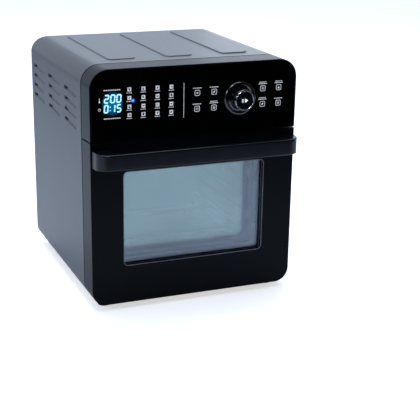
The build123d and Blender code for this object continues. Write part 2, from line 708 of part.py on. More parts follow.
def spit_support():
    """Bracket on the left cavity wall with an open notch for the other end of a spit."""
    wall = -CAVITY_HALF
    plate = 1.2
    rest = 5
    bracket = block((wall, wall + plate), (SPIT_Y - 16, SPIT_Y + 16), (SPIT_Z - 22, SPIT_Z + 22))
    bracket += block((wall, wall + 12), (SPIT_Y - 12, SPIT_Y + 12), (SPIT_Z - 12, SPIT_Z + 10))
    notch = rod_x((wall + plate, wall + 13), SPIT_Y, SPIT_Z, rest)
    notch += block((wall + plate, wall + 13), (SPIT_Y - rest, SPIT_Y + rest), (SPIT_Z, SPIT_Z + 13))
    return bracket - notch


def lamp_lens():
    """Glass lens of the oven lamp, flush with the right cavity wall."""
    lens = rod_x((CAVITY_HALF - 3, CAVITY_HALF), LAMP_Y, LAMP_Z, 20)
    lens = fillet(lens.edges().sort_by(Axis.X)[0], 2)
    return lens + rod_x((CAVITY_HALF, CAVITY_HALF + 4), LAMP_Y, LAMP_Z, 17)


def lamp_holder():
    """Cup outside the cavity wall that holds the lamp."""
    cup = rod_x((CAVITY_HALF + LINER, 155), LAMP_Y, LAMP_Z, 21)
    return cup - rod_x((CAVITY_HALF, 153), LAMP_Y, LAMP_Z, 17.1)


def lamp_bulb():
    """Small halogen capsule in the lamp cup."""
    bulb = rod_x((136, 153), LAMP_Y, LAMP_Z, 6)
    return fillet(bulb.edges().sort_by(Axis.X)[0], 4)


def temperature_probe():
    """Probe through the back cavity wall."""
    probe = rod_y(PROBE_X, (CAVITY_BACK - 24, CAVITY_BACK + 8), PROBE_Z, 3)
    return probe + rod_y(PROBE_X, (CAVITY_BACK + LINER, CAVITY_BACK + 3), PROBE_Z, 8)


def thermal_cutout():
    """Safety cut-out clipped on the drum."""
    return rod_z(-60, FAN_Y + 50, (DOME_TOP, DOME_TOP + 3), 9)


def door_switch():
    """Switch body behind the front frame, bored for its plunger."""
    box = block((SWITCH_X - 8, SWITCH_X + 8), (FRAME_BACK, FRAME_BACK + 18), (SWITCH_Z - 10, SWITCH_Z + 10))
    return box - rod_y(SWITCH_X, (FRAME_BACK - 1, FRAME_BACK + 14), SWITCH_Z, PLUNGER_RADIUS + RUN_CLEARANCE)


def switch_plunger():
    """Plunger that the closed door holds in."""
    pin = rod_y(SWITCH_X, (FACE + FRONT_DEPTH + 0.3, FRAME_BACK + 12), SWITCH_Z, PLUNGER_RADIUS)
    return fillet(pin.edges().sort_by(Axis.Y)[0], 1)


# ---- door ----

def door_envelope(y, top_radius, heel_radius, inset):
    """Volume of the door between two depths: arcs about the hinge above and at the heel."""
    slab = front_view(case_outline(inset), y)
    upper = slab & pivot_cylinder(top_radius)
    upper -= block((-FAR, FAR), (FACE - 50, FAR), (0, PIVOT_Z))
    lower = slab & pivot_cylinder(heel_radius)
    lower -= block((-FAR, FAR), (FACE - 50, FAR), (PIVOT_Z, FAR))
    return upper + lower


def door_shell():
    """Moulded door front with deep flanks, a framed window and a rounded heel slotted for the arms."""
    shell = door_envelope((FACE, FACE + FRONT_DEPTH), DOOR_TOP_RADIUS, DOOR_HEEL_RADIUS, 0)
    hollow = door_envelope((FACE + FRONT_WALL, FACE + FRONT_DEPTH + 1), DOOR_TOP_RADIUS - WALL,
                           DOOR_HEEL_RADIUS - WALL, WALL)
    shell -= hollow
    shell += front_view(window_outline(WALL, WINDOW_RADIUS + WALL), (FACE, FACE + REVEAL))
    shell -= front_view(window_outline(0, WINDOW_RADIUS), (FACE - 1, FACE + REVEAL + 1))
    slot = block((ARM_IN - ARM_SLOT, ARM_OUT + ARM_SLOT), (FACE + FRONT_WALL, FACE + FRONT_DEPTH + 1),
                 (CASE_BOTTOM - 1, PIVOT_Z + 1))
    shell -= slot
    shell -= mirror(slot, about=Plane.YZ)
    for x, z in HANDLE_SCREW_PLACES:
        shell -= rod_y(x, (FACE - 1, FACE + FRONT_WALL + 1), z, 2.1)
    return shell


def door_outer_glass():
    """Outer pane against the window frame."""
    outline = window_outline(GLASS_LAP, WINDOW_RADIUS + GLASS_LAP)
    return front_view(outline, (FACE + REVEAL, FACE + REVEAL + GLASS))


def clip_row(y_wall, y_lip, lip, edge, zs):
    """Four clips that hook over the side edges of a pane."""
    made = []
    for z in zs:
        clip = block((edge + 0.2, edge + 6), y_wall, (z - 8, z + 8))
        clip += block((edge - lip, edge + 6), y_lip, (z - 8, z + 8))
        made.append(clip)
        made.append(mirror(clip, about=Plane.YZ))
    return Compound(children=made)


def door_glass_clips():
    """Clips that hold the outer pane."""
    back = FACE + REVEAL + GLASS
    edge = WINDOW_HALF + GLASS_LAP
    return clip_row((FACE + FRONT_WALL, back + 2), (back, back + 2), 5, edge, (110.0, 180.0))


def door_inner_panel():
    """Pressed sheet that closes the back of the door, with a window and a rim."""
    back = FACE + FRONT_DEPTH
    half = WIDTH / 2 - WALL - 0.3
    height = (PANEL_LOW, PANEL_HIGH)
    panel = block((-half, half), (back - PANEL_RIM, back), height)
    panel -= block((-half + 1, half - 1), (back - PANEL_RIM - 1, back - 1), (PANEL_LOW + 1, PANEL_HIGH - 1))
    return panel - front_view(window_outline(-6, 8), (back - 2, back + 1))


def door_inner_glass():
    """Inner pane behind the pressed panel."""
    back = FACE + FRONT_DEPTH - 1
    return front_view(window_outline(1, 8), (back - GLASS, back))


def door_inner_clips():
    """Clips that hold the inner pane."""
    back = FACE + FRONT_DEPTH - 1
    front = back - GLASS
    return clip_row((front - 1.5, back), (front - 1.5, front), 5, WINDOW_HALF + 1, (110.0, 180.0))


def handle_plan():
    """Plan of the handle: a bar whose ends curve back to the door."""
    half = HANDLE_HALF
    front = FACE - HANDLE_REACH
    shape = Polyline((-half, FACE), (-half + 1.5, FACE - 12), (-half + 1.5, front), (half - 1.5, front),
                     (half - 1.5, FACE - 12), (half, FACE), close=True)
    plan = make_face(shape)
    return fillet(plan.vertices().group_by(Axis.Y)[0], HANDLE_CORNER)


def door_handle():
    """Full-width bar handle with a finger gap behind it."""
    bar = extrude(Pos(0, 0, HANDLE_LOW) * handle_plan(), amount=HANDLE_HIGH - HANDLE_LOW)
    level = bar.faces().sort_by(Axis.Z)[0].edges() + bar.faces().sort_by(Axis.Z)[-1].edges()
    soft = [edge for edge in level if edge.center().Y < FACE - 1]
    bar = fillet(soft, HANDLE_SOFT)
    depth = HANDLE_REACH - HANDLE_BAR
    gap = Pos(0, FACE - depth / 2 + 5) * Rectangle(2 * GRIP_HALF, depth + 10)
    gap = fillet(gap.vertices().group_by(Axis.Y)[0], 10)
    bar -= extrude(Pos(0, 0, HANDLE_LOW - 1) * gap, amount=HANDLE_HIGH - HANDLE_LOW + 2)
    for x, z in HANDLE_SCREW_PLACES:
        bar -= rod_y(x, (FACE - 12, FACE + 1), z, 2)
    return bar


def handle_screws():
    """Screws through the door front into the handle's ends."""
    made = []
    for x, z in HANDLE_SCREW_PLACES:
        back = FACE + FRONT_WALL
        made.append(rod_y(x, (FACE - 12, back), z, 2) + rod_y(x, (back, back + 2.5), z, 4))
    return Compound(children=made)


def door_hinge_blocks():
    """Blocks inside the door's lower corners that hold the hinge pins."""
    width = (ARM_OUT + ARM_SLOT, WIDTH / 2 - WALL)
    hub = block(width, (FACE + FRONT_WALL, PIVOT_Y + 8), (PIVOT_Z - 6, PIVOT_Z + 6))
    return both(hub - rod_x((ARM_OUT, WIDTH / 2), PIVOT_Y, PIVOT_Z, PIN_RADIUS))


def door_hinge_pins():
    """Pins pressed in the blocks and turning in the arms."""
    return both(rod_x((ARM_IN - 1, WIDTH / 2 - WALL), PIVOT_Y, PIVOT_Z, PIN_RADIUS))


SUB_PARTS = {
    "outer_wrapper": outer_wrapper,
    "back_panel": back_panel,
    "base_pan": base_pan,
    "sill": sill,
    "front_frame": front_frame,
    "feet": feet,
    "foot_screws": foot_screws,
    "rear_spacers": rear_spacers,
    "back_screws": back_screws,
    "cord_bushing": cord_bushing,
    "control_bezel": control_bezel,
    "control_glass": control_glass,
    "display_module": display_module,
    "icon_light_guide": icon_light_guide,
    "control_board": control_board,
    "control_box_cover": control_box_cover,
    "encoder_housing": encoder_housing,
    "encoder_core": encoder_core,
    "knob_shaft": knob_shaft,
    "knob": knob,
    "knob_ring": knob_ring,
    "cavity_liner": cavity_liner,
    "rack_rail_left": lambda: rack_rail(-1),
    "rack_rail_right": lambda: rack_rail(1),
    "door_seal": door_seal,
    "hinge_arms": hinge_arms,
    "crumb_tray": crumb_tray,
    "bottom_element": bottom_element,
    "element_clips": element_clips,
    "fan_housing": fan_housing,
    "fan_guard": fan_guard,
    "top_element": top_element,
    "fan_shaft": fan_shaft,
    "impeller": impeller,
    "cooling_fan": cooling_fan,
    "fan_motor": fan_motor,
    "heat_shield": heat_shield,
    "power_board": power_board,
    "board_standoffs": board_standoffs,
    "rotisserie_motor": rotisserie_motor,
    "rotisserie_bushing": rotisserie_bushing,
    "rotisserie_socket": rotisserie_socket,
    "spit_support": spit_support,
    "lamp_lens": lamp_lens,
    "lamp_holder": lamp_holder,
    "lamp_bulb": lamp_bulb,
    "temperature_probe": temperature_probe,
    "thermal_cutout": thermal_cutout,
    "door_switch": door_switch,
    "switch_plunger": switch_plunger,
    "door_shell": door_shell,
    "door_outer_glass": door_outer_glass,
    "door_glass_clips": door_glass_clips,
    "door_inner_panel": door_inner_panel,
    "door_inner_glass": door_inner_glass,
    "door_inner_clips": door_inner_clips,
    "door_handle": door_handle,
    "handle_screws": handle_screws,
    "door_hinge_blocks": door_hinge_blocks,
    "door_hinge_pins": door_hinge_pins,
}

os.makedirs("parts", exist_ok=True)
for node, make in SUB_PARTS.items():
    export_step(make(), f"parts/{node}.step")
print(len(SUB_PARTS), "sub-parts written")
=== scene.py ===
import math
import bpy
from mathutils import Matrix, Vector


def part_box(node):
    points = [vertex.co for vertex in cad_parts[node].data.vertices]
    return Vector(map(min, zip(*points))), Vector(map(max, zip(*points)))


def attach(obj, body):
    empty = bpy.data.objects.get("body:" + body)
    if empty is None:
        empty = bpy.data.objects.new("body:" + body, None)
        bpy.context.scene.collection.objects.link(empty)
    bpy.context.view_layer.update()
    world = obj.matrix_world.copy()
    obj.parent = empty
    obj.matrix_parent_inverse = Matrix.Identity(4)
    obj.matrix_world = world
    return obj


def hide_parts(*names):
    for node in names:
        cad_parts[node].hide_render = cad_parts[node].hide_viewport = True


bl_info = {
    "name": "Countertop oven looks",
    "version": (1, 0, 0),
    "blender": (4, 5, 0),
    "location": "3D View > Sidebar > Oven",
    "description": "Detailed pieces, finishes and studio for a countertop air-fryer oven",
    "category": "Add Mesh",
}

import bmesh
import bpy
from bpy.props import FloatProperty, FloatVectorProperty, PointerProperty
from mathutils import Matrix, Vector

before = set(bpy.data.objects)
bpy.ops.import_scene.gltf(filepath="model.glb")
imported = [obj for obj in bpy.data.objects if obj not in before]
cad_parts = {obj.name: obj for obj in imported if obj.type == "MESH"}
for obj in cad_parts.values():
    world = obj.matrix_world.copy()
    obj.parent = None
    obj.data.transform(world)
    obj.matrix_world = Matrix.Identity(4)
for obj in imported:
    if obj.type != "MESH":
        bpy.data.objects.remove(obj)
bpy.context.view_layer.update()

MM = 0.001
WELD = 1e-6
CASE_CORNER = 29 * MM
FLAT_ANGLE = math.radians(0.6)
SHARP_ANGLE = math.radians(35)


def low(node):
    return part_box(node)[0]


def high(node):
    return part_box(node)[1]


def middle(node):
    return (low(node) + high(node)) / 2


FACE = low("door_shell").y
GLASS_FACE = low("control_glass").y
KNOB_CENTRE = Vector((middle("knob").x, 0, middle("knob").z))

# Edges of the sheet, the mouldings and the glass
PAD_EDGE = 1.1 * MM
SEAM_EDGE = 0.9 * MM
# Insets of the painted seam shadow strip, a dark sheet standing for the shade in the seam's groove
SEAM_SHADOW_STRIP = (0.1 * MM, 1.25 * MM)
PANE_CORNER = 8 * MM
WINDOW_CORNER = 7 * MM
WINDOW_LAP = 6.5 * MM
# Rounding of the painted highlight strips around the window
HIGHLIGHT_STRIP_EDGE = 0.2 * MM
GRIP_CORNER = 10 * MM
HANDLE_DRAFT = 1.5 * MM
HANDLE_DRAFT_REACH = 12 * MM
DRUM_RADIUS = 16.5 * MM
BAND_RADII = (13.6 * MM, 15.0 * MM)

# Layout of the touch panel, in millimetres across and above the frame's origin
DISPLAY_CENTRE = (-130.4, 323.0)
DISPLAY_SIZE = (31, 36)
GLOW_CENTRE = (-130.3, 323.2)
GLOW_REACH = (17.5, 18, 18.5)
UPPER_DIGITS = ((-139.2, "2"), (-129.9, "0"), (-120.6, "0"))
LOWER_DIGITS = ((-140.0, "0"), (-129.6, "1"), (-120.6, "5"))
DIGIT_ROWS = ((330.3, 7.8, 12.8, UPPER_DIGITS), (315.9, 7.2, 12.4, LOWER_DIGITS))
DIGIT_LINE = 2.0
COLON_X = -133.9
COLON_LEVELS = (318.3, 313.3)
SYMBOL_X = -150
CLOCK_Z = 315
HEADING_X = -130.6
HEADING_LEVELS = (343.0, 301.4)
PRESET_COLUMNS = (-104.7, -83.2, -61.4, -39.7)
PRESET_ROWS = (341.6, 329.1, 316.3, 303.9)
PRESET_TILE = 5.8
DIVIDER_X = -20
DIVIDER_ENDS = (294.7, 346.6)
LAMP_SPOT = (-99.2, 325.7)
LAMP_RADII = (1.3, 3.6)
KEY_COLUMNS = (1.4, 28.5, 108.6, 135.2)
KEY_ROWS = (330.4, 306.4)
KEY_SIZE = 8.6
TWO_LINE_KEYS = ((1, 1), (2, 0), (3, 0), (2, 1))
SIGN_SIZE = 2.3

# Strength of the mirror films on the door's two panes
OUTER_MIRROR = 0.095
INNER_MIRROR = 0.31

# Stage: floor half sizes and shift in metres, lights, and the camera
FLOOR_HALF = (3.5, 2.6, 1.0)
FLOOR_SHIFT = (0, 1.71, -0.0005)
FLOOR_LIFT = 0.62
ROOM_DIM = (0.010, 0.014, 0.022, 1)
ROOM_BRIGHT = (0.74, 0.84, 1.0, 1)
LIGHTS = (("overhead", (0.1, 0.5, 2.0), (0, 0.1, 0.3), 1.6, 36, (0.80, 0.88, 1.0)),
          ("behind", (1.1, 2.6, 1.3), (0, 0, 0.3), 1.5, 3, (0.74, 0.84, 1.0)),
          ("left", (-1.9, -0.9, 1.3), (0, 0, 0.3), 0.5, 9, (0.80, 0.88, 1.0)),
          ("behind_low", (1.3, 2.4, 0.62), (0, 0.1, 0.37), 0.4, 1.2, (0.86, 0.92, 1.0)),
          ("above_front", (-0.5, -0.9, 1.7), (0, -0.1, 0.3), 0.45, 7, (0.80, 0.88, 1.0)))
CAMERA_PLACE = (-0.5882, -1.6027, 0.6561)
CAMERA_ANGLES = (21.95, 18.89, 0.77)
CAMERA_LENS = 91.33
CAMERA_SENSOR = 36.0
CAMERA_SHIFT = (0.0476, 0.0357)


# ---- sizes and colours a user would change ----

def length(name, description, default):
    return FloatProperty(name=name, description=description, default=default, subtype="DISTANCE",
                         unit="LENGTH")


def colour(name, description, default):
    return FloatVectorProperty(name=name, description=description, default=default, size=3,
                               subtype="COLOR", min=0, max=1)


class OvenSizes(bpy.types.PropertyGroup):
    """Sizes of the detailed pieces"""
    sheet_edge: length("Sheet edge", "Rounding on the folded sheet's edges", 0.45 * MM)
    moulding_edge: length("Moulding edge", "Rounding on the edges of the front mouldings", 1.1 * MM)
    glass_edge: length("Glass edge", "Ground edge of the panes", 0.4 * MM)
    handle_corner: length("Handle corner", "Radius of the handle's outer corners in plan", 20 * MM)
    handle_bar: length("Handle bar", "Depth of the handle's bar", 9 * MM)
    handle_edge: length("Handle edge", "Rounding along the handle's long edges", 3 * MM)
    grip_half: length("Grip half", "Half the width of the finger gap", 136 * MM)
    mark_height: length("Mark height", "Thickness of printed and lit marks", 0.06 * MM)
    foot_height: length("Foot height", "Height of a rubber foot", high("feet").z)


class OvenColours(bpy.types.PropertyGroup):
    """Colours of the finishes"""
    paint: colour("Case paint", "Powder coat on the sheet case", (0.009, 0.012, 0.018))
    moulding: colour("Front moulding", "Satin plastic of the door and bezel", (0.0016, 0.0026, 0.0045))
    handle: colour("Handle", "Satin plastic of the handle", (0.0028, 0.0040, 0.0065))
    touch_glass: colour("Touch glass", "Black backing of the touch glass", (0.0008, 0.0008, 0.0011))
    window: colour("Window tint", "Tint of the door's panes", (0.85, 0.93, 0.92))
    outer_film: colour("Outer film", "Tint of the outer pane's reflection", (0.84, 0.88, 1.0))
    inner_film: colour("Inner film", "Tint of the inner pane's heat film", (0.95, 1.0, 0.86))
    steel: colour("Cavity steel", "Bright steel of the cavity", (0.52, 0.55, 0.57))
    chrome: colour("Chrome", "Plated trim", (0.85, 0.87, 0.90))
    rubber: colour("Rubber", "Feet, seal and bushings", (0.012, 0.012, 0.013))
    digits: colour("Digits", "Light of the numerals", (0.40, 0.80, 1.0))
    glow: colour("Glow", "Light behind the numerals", (0.0, 0.10, 0.24))
    marks: colour("Marks", "Printed and backlit marks", (0.62, 0.64, 0.66))


# ---- finishes ----

def tinted(base, share):
    return tuple(min(1.0, channel * share) for channel in base) + (1.0,)


def noise(tree, scale, stretch=(1, 1, 1), detail=3.0):
    """Noise over the piece's own coordinates, stretched along its axes."""
    place = tree.nodes.new("ShaderNodeTexCoord")
    fit = tree.nodes.new("ShaderNodeMapping")
    fit.inputs["Scale"].default_value = stretch
    pattern = tree.nodes.new("ShaderNodeTexNoise")
    pattern.inputs["Scale"].default_value = scale
    pattern.inputs["Detail"].default_value = detail
    tree.links.new(place.outputs["Object"], fit.inputs["Vector"])
    tree.links.new(fit.outputs["Vector"], pattern.inputs["Vector"])
    return pattern.outputs["Fac"]


def ramp(tree, factor, first, second, start=0.35, stop=0.65):
    blend = tree.nodes.new("ShaderNodeValToRGB")
    blend.color_ramp.elements[0].position = start
    blend.color_ramp.elements[0].color = first
    blend.color_ramp.elements[1].position = stop
    blend.color_ramp.elements[1].color = second
    tree.links.new(factor, blend.inputs["Fac"])
    return blend.outputs["Color"]


def spread_over(tree, factor, lowest, highest):
    fit = tree.nodes.new("ShaderNodeMapRange")
    fit.inputs["From Min"].default_value = 0.3
    fit.inputs["From Max"].default_value = 0.7
    fit.inputs["To Min"].default_value = lowest
    fit.inputs["To Max"].default_value = highest
    tree.links.new(factor, fit.inputs["Value"])
    return fit.outputs["Result"]


def new_finish(name):
    material = bpy.data.materials.new(name)
    material.use_nodes = True
    return material, material.node_tree, material.node_tree.nodes["Principled BSDF"]


def finish(name, base, vary=0.12, rough=0.4, spread=0.06, grain=900.0, depth=0.02, stretch=(1, 1, 1),
           blotch=14.0, metallic=0.0, specular=0.5, coat=0.0, coat_rough=0.1):
    """A solid finish: slow changes of shade, finer changes of gloss and a fine relief."""
    material, tree, shader = new_finish(name)
    slow = noise(tree, blotch, detail=2.0)
    fine = noise(tree, grain, stretch)
    shade = ramp(tree, slow, tinted(base, 1 - vary), tinted(base, 1 + vary))
    tree.links.new(shade, shader.inputs["Base Color"])
    gloss = spread_over(tree, fine, max(0.02, rough - spread), rough + spread)
    tree.links.new(gloss, shader.inputs["Roughness"])
    relief = tree.nodes.new("ShaderNodeBump")
    relief.inputs["Strength"].default_value = 0.35
    relief.inputs["Distance"].default_value = depth * MM
    tree.links.new(fine, relief.inputs["Height"])
    tree.links.new(relief.outputs["Normal"], shader.inputs["Normal"])
    shader.inputs["Metallic"].default_value = metallic
    shader.inputs["Specular IOR Level"].default_value = specular
    shader.inputs["Coat Weight"].default_value = coat
    shader.inputs["Coat Roughness"].default_value = coat_rough
    return material


def light_finish(name, base, strength, haze=0.15):
    """A lit mark: its glow is a little uneven, as light through a diffuser is."""
    material, tree, shader = new_finish(name)
    fine = noise(tree, 350.0)
    shade = ramp(tree, fine, tinted(base, 1 - haze), tinted(base, 1.0))
    tree.links.new(shade, shader.inputs["Base Color"])
    tree.links.new(shade, shader.inputs["Emission Color"])
    shader.inputs["Emission Strength"].default_value = strength
    shader.inputs["Roughness"].default_value = 0.3
    return material


def glow_finish(name, base, centre, size, strength):
    """A dark window that is lit around its numerals and fades towards its edges."""
    material, tree, shader = new_finish(name)
    place = tree.nodes.new("ShaderNodeTexCoord")
    fit = tree.nodes.new("ShaderNodeMapping")
    fit.vector_type = "TEXTURE"
    fit.inputs["Location"].default_value = centre
    fit.inputs["Scale"].default_value = size
    ball = tree.nodes.new("ShaderNodeTexGradient")
    ball.gradient_type = "SPHERICAL"
    tree.links.new(place.outputs["Object"], fit.inputs["Vector"])
    tree.links.new(fit.outputs["Vector"], ball.inputs["Vector"])
    shade = ramp(tree, ball.outputs["Fac"], tinted(base, 0.0), tinted(base, 1.0), 0.0, 0.62)
    tree.links.new(shade, shader.inputs["Base Color"])
    tree.links.new(shade, shader.inputs["Emission Color"])
    shader.inputs["Emission Strength"].default_value = strength
    shader.inputs["Roughness"].default_value = 0.25
    return material


def pane_finish(name, tint, film_tint, mirror, clear=0.96, sheen=0.01):
    """Flat glass: a tinted clear body with a mirror film that strengthens at a slant."""
    material, tree, shader = new_finish(name)
    tree.nodes.remove(shader)
    body = tree.nodes.new("ShaderNodeBsdfTransparent")
    film = tree.nodes.new("ShaderNodeBsdfGlossy")
    film.inputs["Roughness"].default_value = sheen
    film.inputs["Color"].default_value = tinted(film_tint, 1.0)
    slow = noise(tree, 9.0, detail=1.0)
    shade = ramp(tree, slow, tinted(tint, clear * 0.96), tinted(tint, clear))
    tree.links.new(shade, body.inputs["Color"])
    slant = tree.nodes.new("ShaderNodeFresnel")
    slant.inputs["IOR"].default_value = 1.5
    share = tree.nodes.new("ShaderNodeMath")
    share.operation = "ADD"
    share.use_clamp = True
    share.inputs[1].default_value = mirror
    tree.links.new(slant.outputs["Fac"], share.inputs[0])
    mix = tree.nodes.new("ShaderNodeMixShader")
    tree.links.new(share.outputs["Value"], mix.inputs["Fac"])
    tree.links.new(body.outputs["BSDF"], mix.inputs[1])
    tree.links.new(film.outputs["BSDF"], mix.inputs[2])
    tree.links.new(mix.outputs["Shader"], tree.nodes["Material Output"].inputs["Surface"])
    return material


def board_finish(name):
    """Circuit board: solder mask with a net of tracks."""
    material, tree, shader = new_finish(name)
    place = tree.nodes.new("ShaderNodeTexCoord")
    cells = tree.nodes.new("ShaderNodeTexVoronoi")
    cells.feature = "DISTANCE_TO_EDGE"
    cells.inputs["Scale"].default_value = 160.0
    tree.links.new(place.outputs["Object"], cells.inputs["Vector"])
    shade = ramp(tree, cells.outputs["Distance"], (0.05, 0.22, 0.08, 1), (0.008, 0.06, 0.025, 1), 0.03, 0.06)
    tree.links.new(shade, shader.inputs["Base Color"])
    shader.inputs["Roughness"].default_value = 0.32
    return material


def make_finishes(tints):
    """Every finish of the record's material slots."""
    steel = tuple(tints.steel)
    return {
        "case_paint": finish("Powder coat", tints.paint, rough=0.40, spread=0.04, grain=1100, depth=0.010,
                             specular=0.55, coat=0.25, coat_rough=0.30),
        "front_moulding": finish("Satin moulding", tints.moulding, rough=0.34, grain=1500, depth=0.006,
                                 specular=0.10),
        "handle_moulding": finish("Handle moulding", tints.handle, rough=0.24, spread=0.03, grain=1500,
                                  depth=0.0015, specular=0.36),
        "touch_glass": finish("Touch glass", tints.touch_glass, rough=0.05, spread=0.02, grain=60,
                              depth=0.001, specular=0.12),
        "window_glass": pane_finish("Window glass", tints.window, tints.outer_film, OUTER_MIRROR),
        "knob_gloss": finish("Knob gloss", tints.touch_glass, rough=0.14, spread=0.02, grain=200, depth=0.001,
                             specular=0.7, coat=1.0, coat_rough=0.10),
        "chrome_trim": finish("Chrome trim", tints.chrome, rough=0.22, spread=0.05, grain=500, depth=0.001,
                              metallic=1.0),
        "bright_steel": finish("Bright steel", steel, vary=0.05, rough=0.33, spread=0.03, grain=220,
                               depth=0.0015, stretch=(1, 0.12, 6), metallic=0.85),
        "zinc_steel": finish("Zinc-coated steel", (0.34, 0.36, 0.38), vary=0.10, rough=0.46, grain=260,
                             blotch=160, metallic=0.8),
        "screw_steel": finish("Screw steel", (0.30, 0.31, 0.33), rough=0.33, grain=800, metallic=1.0),
        "element_sheath": finish("Element sheath", (0.075, 0.070, 0.066), vary=0.35, rough=0.52, grain=700,
                                 blotch=60, metallic=0.5),
        "soft_rubber": finish("Soft rubber", tints.rubber, rough=0.72, grain=1400, depth=0.02, specular=0.3),
        "fan_alloy": finish("Fan alloy", (0.42, 0.43, 0.45), rough=0.42, grain=400, metallic=0.9),
        "motor_steel": finish("Motor steel", (0.20, 0.21, 0.22), rough=0.48, grain=500, metallic=0.8),
        "inner_plastic": finish("Inner plastic", (0.045, 0.045, 0.048), rough=0.55, grain=900),
        "circuit_board": board_finish("Circuit board"),
        "display_light": light_finish("Numerals", tints.digits, 1.15),
        "light_guide": light_finish("Backlit marks", tints.marks, 0.75, haze=0.3),
    }


FINISHES = {}


# ---- shaping ----

def polygon(bm, points, y):
    """A flat face in X and Z at one depth, seen from the front."""
    corners = [bm.verts.new((x, y, z)) for x, z in points]
    return bm.faces.new(corners)


def rounded(bm, points, radii, y, segments=10):
    """A flat face whose corners are rounded, each by its own radius."""
    face = polygon(bm, points, y)
    corners = list(face.verts)
    for corner, radius in zip(corners, radii):
        if radius > 0:
            bmesh.ops.bevel(bm, geom=[corner], offset=radius, segments=segments, profile=0.5,
                            affect="VERTICES", material=-1)
    return max(bm.faces, key=lambda made: made.calc_area())


def box_points(x, z, width, height):
    return [(x - width / 2, z - height / 2), (x + width / 2, z - height / 2),
            (x + width / 2, z + height / 2), (x - width / 2, z + height / 2)]


def thicken(bm, faces, shift):
    """Give flat faces a thickness along a vector, closed all round."""
    made = bmesh.ops.extrude_face_region(bm, geom=list(faces), use_keep_orig=True)
    moved = [item for item in made["geom"] if isinstance(item, bmesh.types.BMVert)]
    bmesh.ops.translate(bm, verts=moved, vec=shift)
    return moved


def soften(bm, width, segments=2, wanted=None, angle=SHARP_ANGLE):
    """Bevel the sharp edges, or those of them that are wanted."""
    edges = [edge for edge in bm.edges
             if edge.is_manifold and edge.calc_face_angle(0) > angle and (wanted is None or wanted(edge))]
    bmesh.ops.bevel(bm, geom=edges, offset=width, segments=segments, profile=0.5, affect="EDGES",
                    material=-1, clamp_overlap=False)


def turned(bm, profile, centre, axis, steps=64):
    """Spin a profile of (radius, travel) pairs about an axis through a centre."""
    axis = Vector(axis)
    out = axis.orthogonal().normalized()
    points = [bm.verts.new(centre + out * radius + axis * travel) for radius, travel in profile]
    edges = [bm.edges.new(pair) for pair in zip(points, points[1:])]
    bmesh.ops.spin(bm, geom=points + edges, cent=centre, axis=axis, dvec=(0, 0, 0), angle=math.tau,
                   steps=steps, use_merge=True, use_duplicate=False)
    bmesh.ops.remove_doubles(bm, verts=bm.verts, dist=WELD)


def copy_of(node):
    """The node's own shape as one clean mesh, its flat areas whole again."""
    bm = bmesh.new()
    bm.from_mesh(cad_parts[node].data)
    bmesh.ops.remove_doubles(bm, verts=bm.verts, dist=WELD)
    bmesh.ops.dissolve_limit(bm, angle_limit=FLAT_ANGLE, verts=bm.verts, edges=bm.edges)
    return bm


def add_piece(context, bm, name, body, slot, nodes=(), material=None, outward=True, crease=40):
    """Turn a bmesh into a finished piece that rides on a body."""
    if not bm.faces:
        raise RuntimeError(f"{name} has no faces")
    if outward:
        bmesh.ops.recalc_face_normals(bm, faces=bm.faces)
    mesh = bpy.data.meshes.new(name)
    bm.to_mesh(mesh)
    bm.free()
    mesh.shade_smooth()
    mesh.set_sharp_from_angle(angle=math.radians(crease))
    mesh.materials.append(material or FINISHES[slot])
    piece = bpy.data.objects.new(name, mesh)
    context.scene.collection.objects.link(piece)
    even = piece.modifiers.new("Even normals", "WEIGHTED_NORMAL")
    even.keep_sharp = True
    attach(piece, body)
    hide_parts(*nodes)
    return piece


# ---- marks on the touch glass ----

def mark(bm, points, height):
    """A thin raised mark on the touch glass, from its outline."""
    face = polygon(bm, points, GLASS_FACE + height)
    thicken(bm, [face], (0, -2 * height, 0))


def stroke(bm, start, end, width, height):
    """A straight mark of one width."""
    a, b = Vector(start), Vector(end)
    side = (b - a).orthogonal().normalized() * width / 2
    mark(bm, [tuple(a + side), tuple(b + side), tuple(b - side), tuple(a - side)], height)


def dot(bm, x, z, radius, height, sides=16, first=0.0, last=math.tau):
    """A round mark, or a sector of one."""
    count = sides if last - first > 6.28 else sides + 1
    points = [(x + radius * math.cos(first + (last - first) * step / sides),
               z + radius * math.sin(first + (last - first) * step / sides)) for step in range(count)]
    mark(bm, points, height)


def ring(bm, x, z, radius, line, height, sides=24):
    """A round outline."""
    for step in range(sides):
        turn = [math.tau * (step + part) / sides for part in (0, 1)]
        rim = [(x + size * math.cos(a), z + size * math.sin(a)) for size, a in
               ((radius, turn[0]), (radius, turn[1]), (radius - line, turn[1]), (radius - line, turn[0]))]
        mark(bm, rim, height)


def key_outline(bm, x, z, size, radius, line, height):
    """The rounded square outline of a touch key."""
    loops = []
    for inset in (0, line):
        bm_part = bmesh.new()
        side = size - 2 * inset
        rounded(bm_part, box_points(x, z, side, side), [radius - inset] * 4, 0.0, 4)
        face = max(bm_part.faces, key=lambda made: made.calc_area())
        loops.append([(corner.co.x, corner.co.z) for corner in face.verts])
        bm_part.free()
    outer, inner = loops
    count = len(outer)
    for step in range(count):
        after = (step + 1) % count
        mark(bm, [outer[step], outer[after], inner[after], inner[step]], height)


def word(bm, x, z, width, size, height):
    """A caption reduced to a row of short bars."""
    parts = max(2, round(width / (3.1 * MM)))
    step = width / parts
    for index in range(parts):
        left = x - width / 2 + index * step
        stroke(bm, (left, z), (left + step * 0.8, z), size, height)


SEGMENTS = {"0": "abcdef", "1": "bc", "2": "abged", "5": "afgcd"}


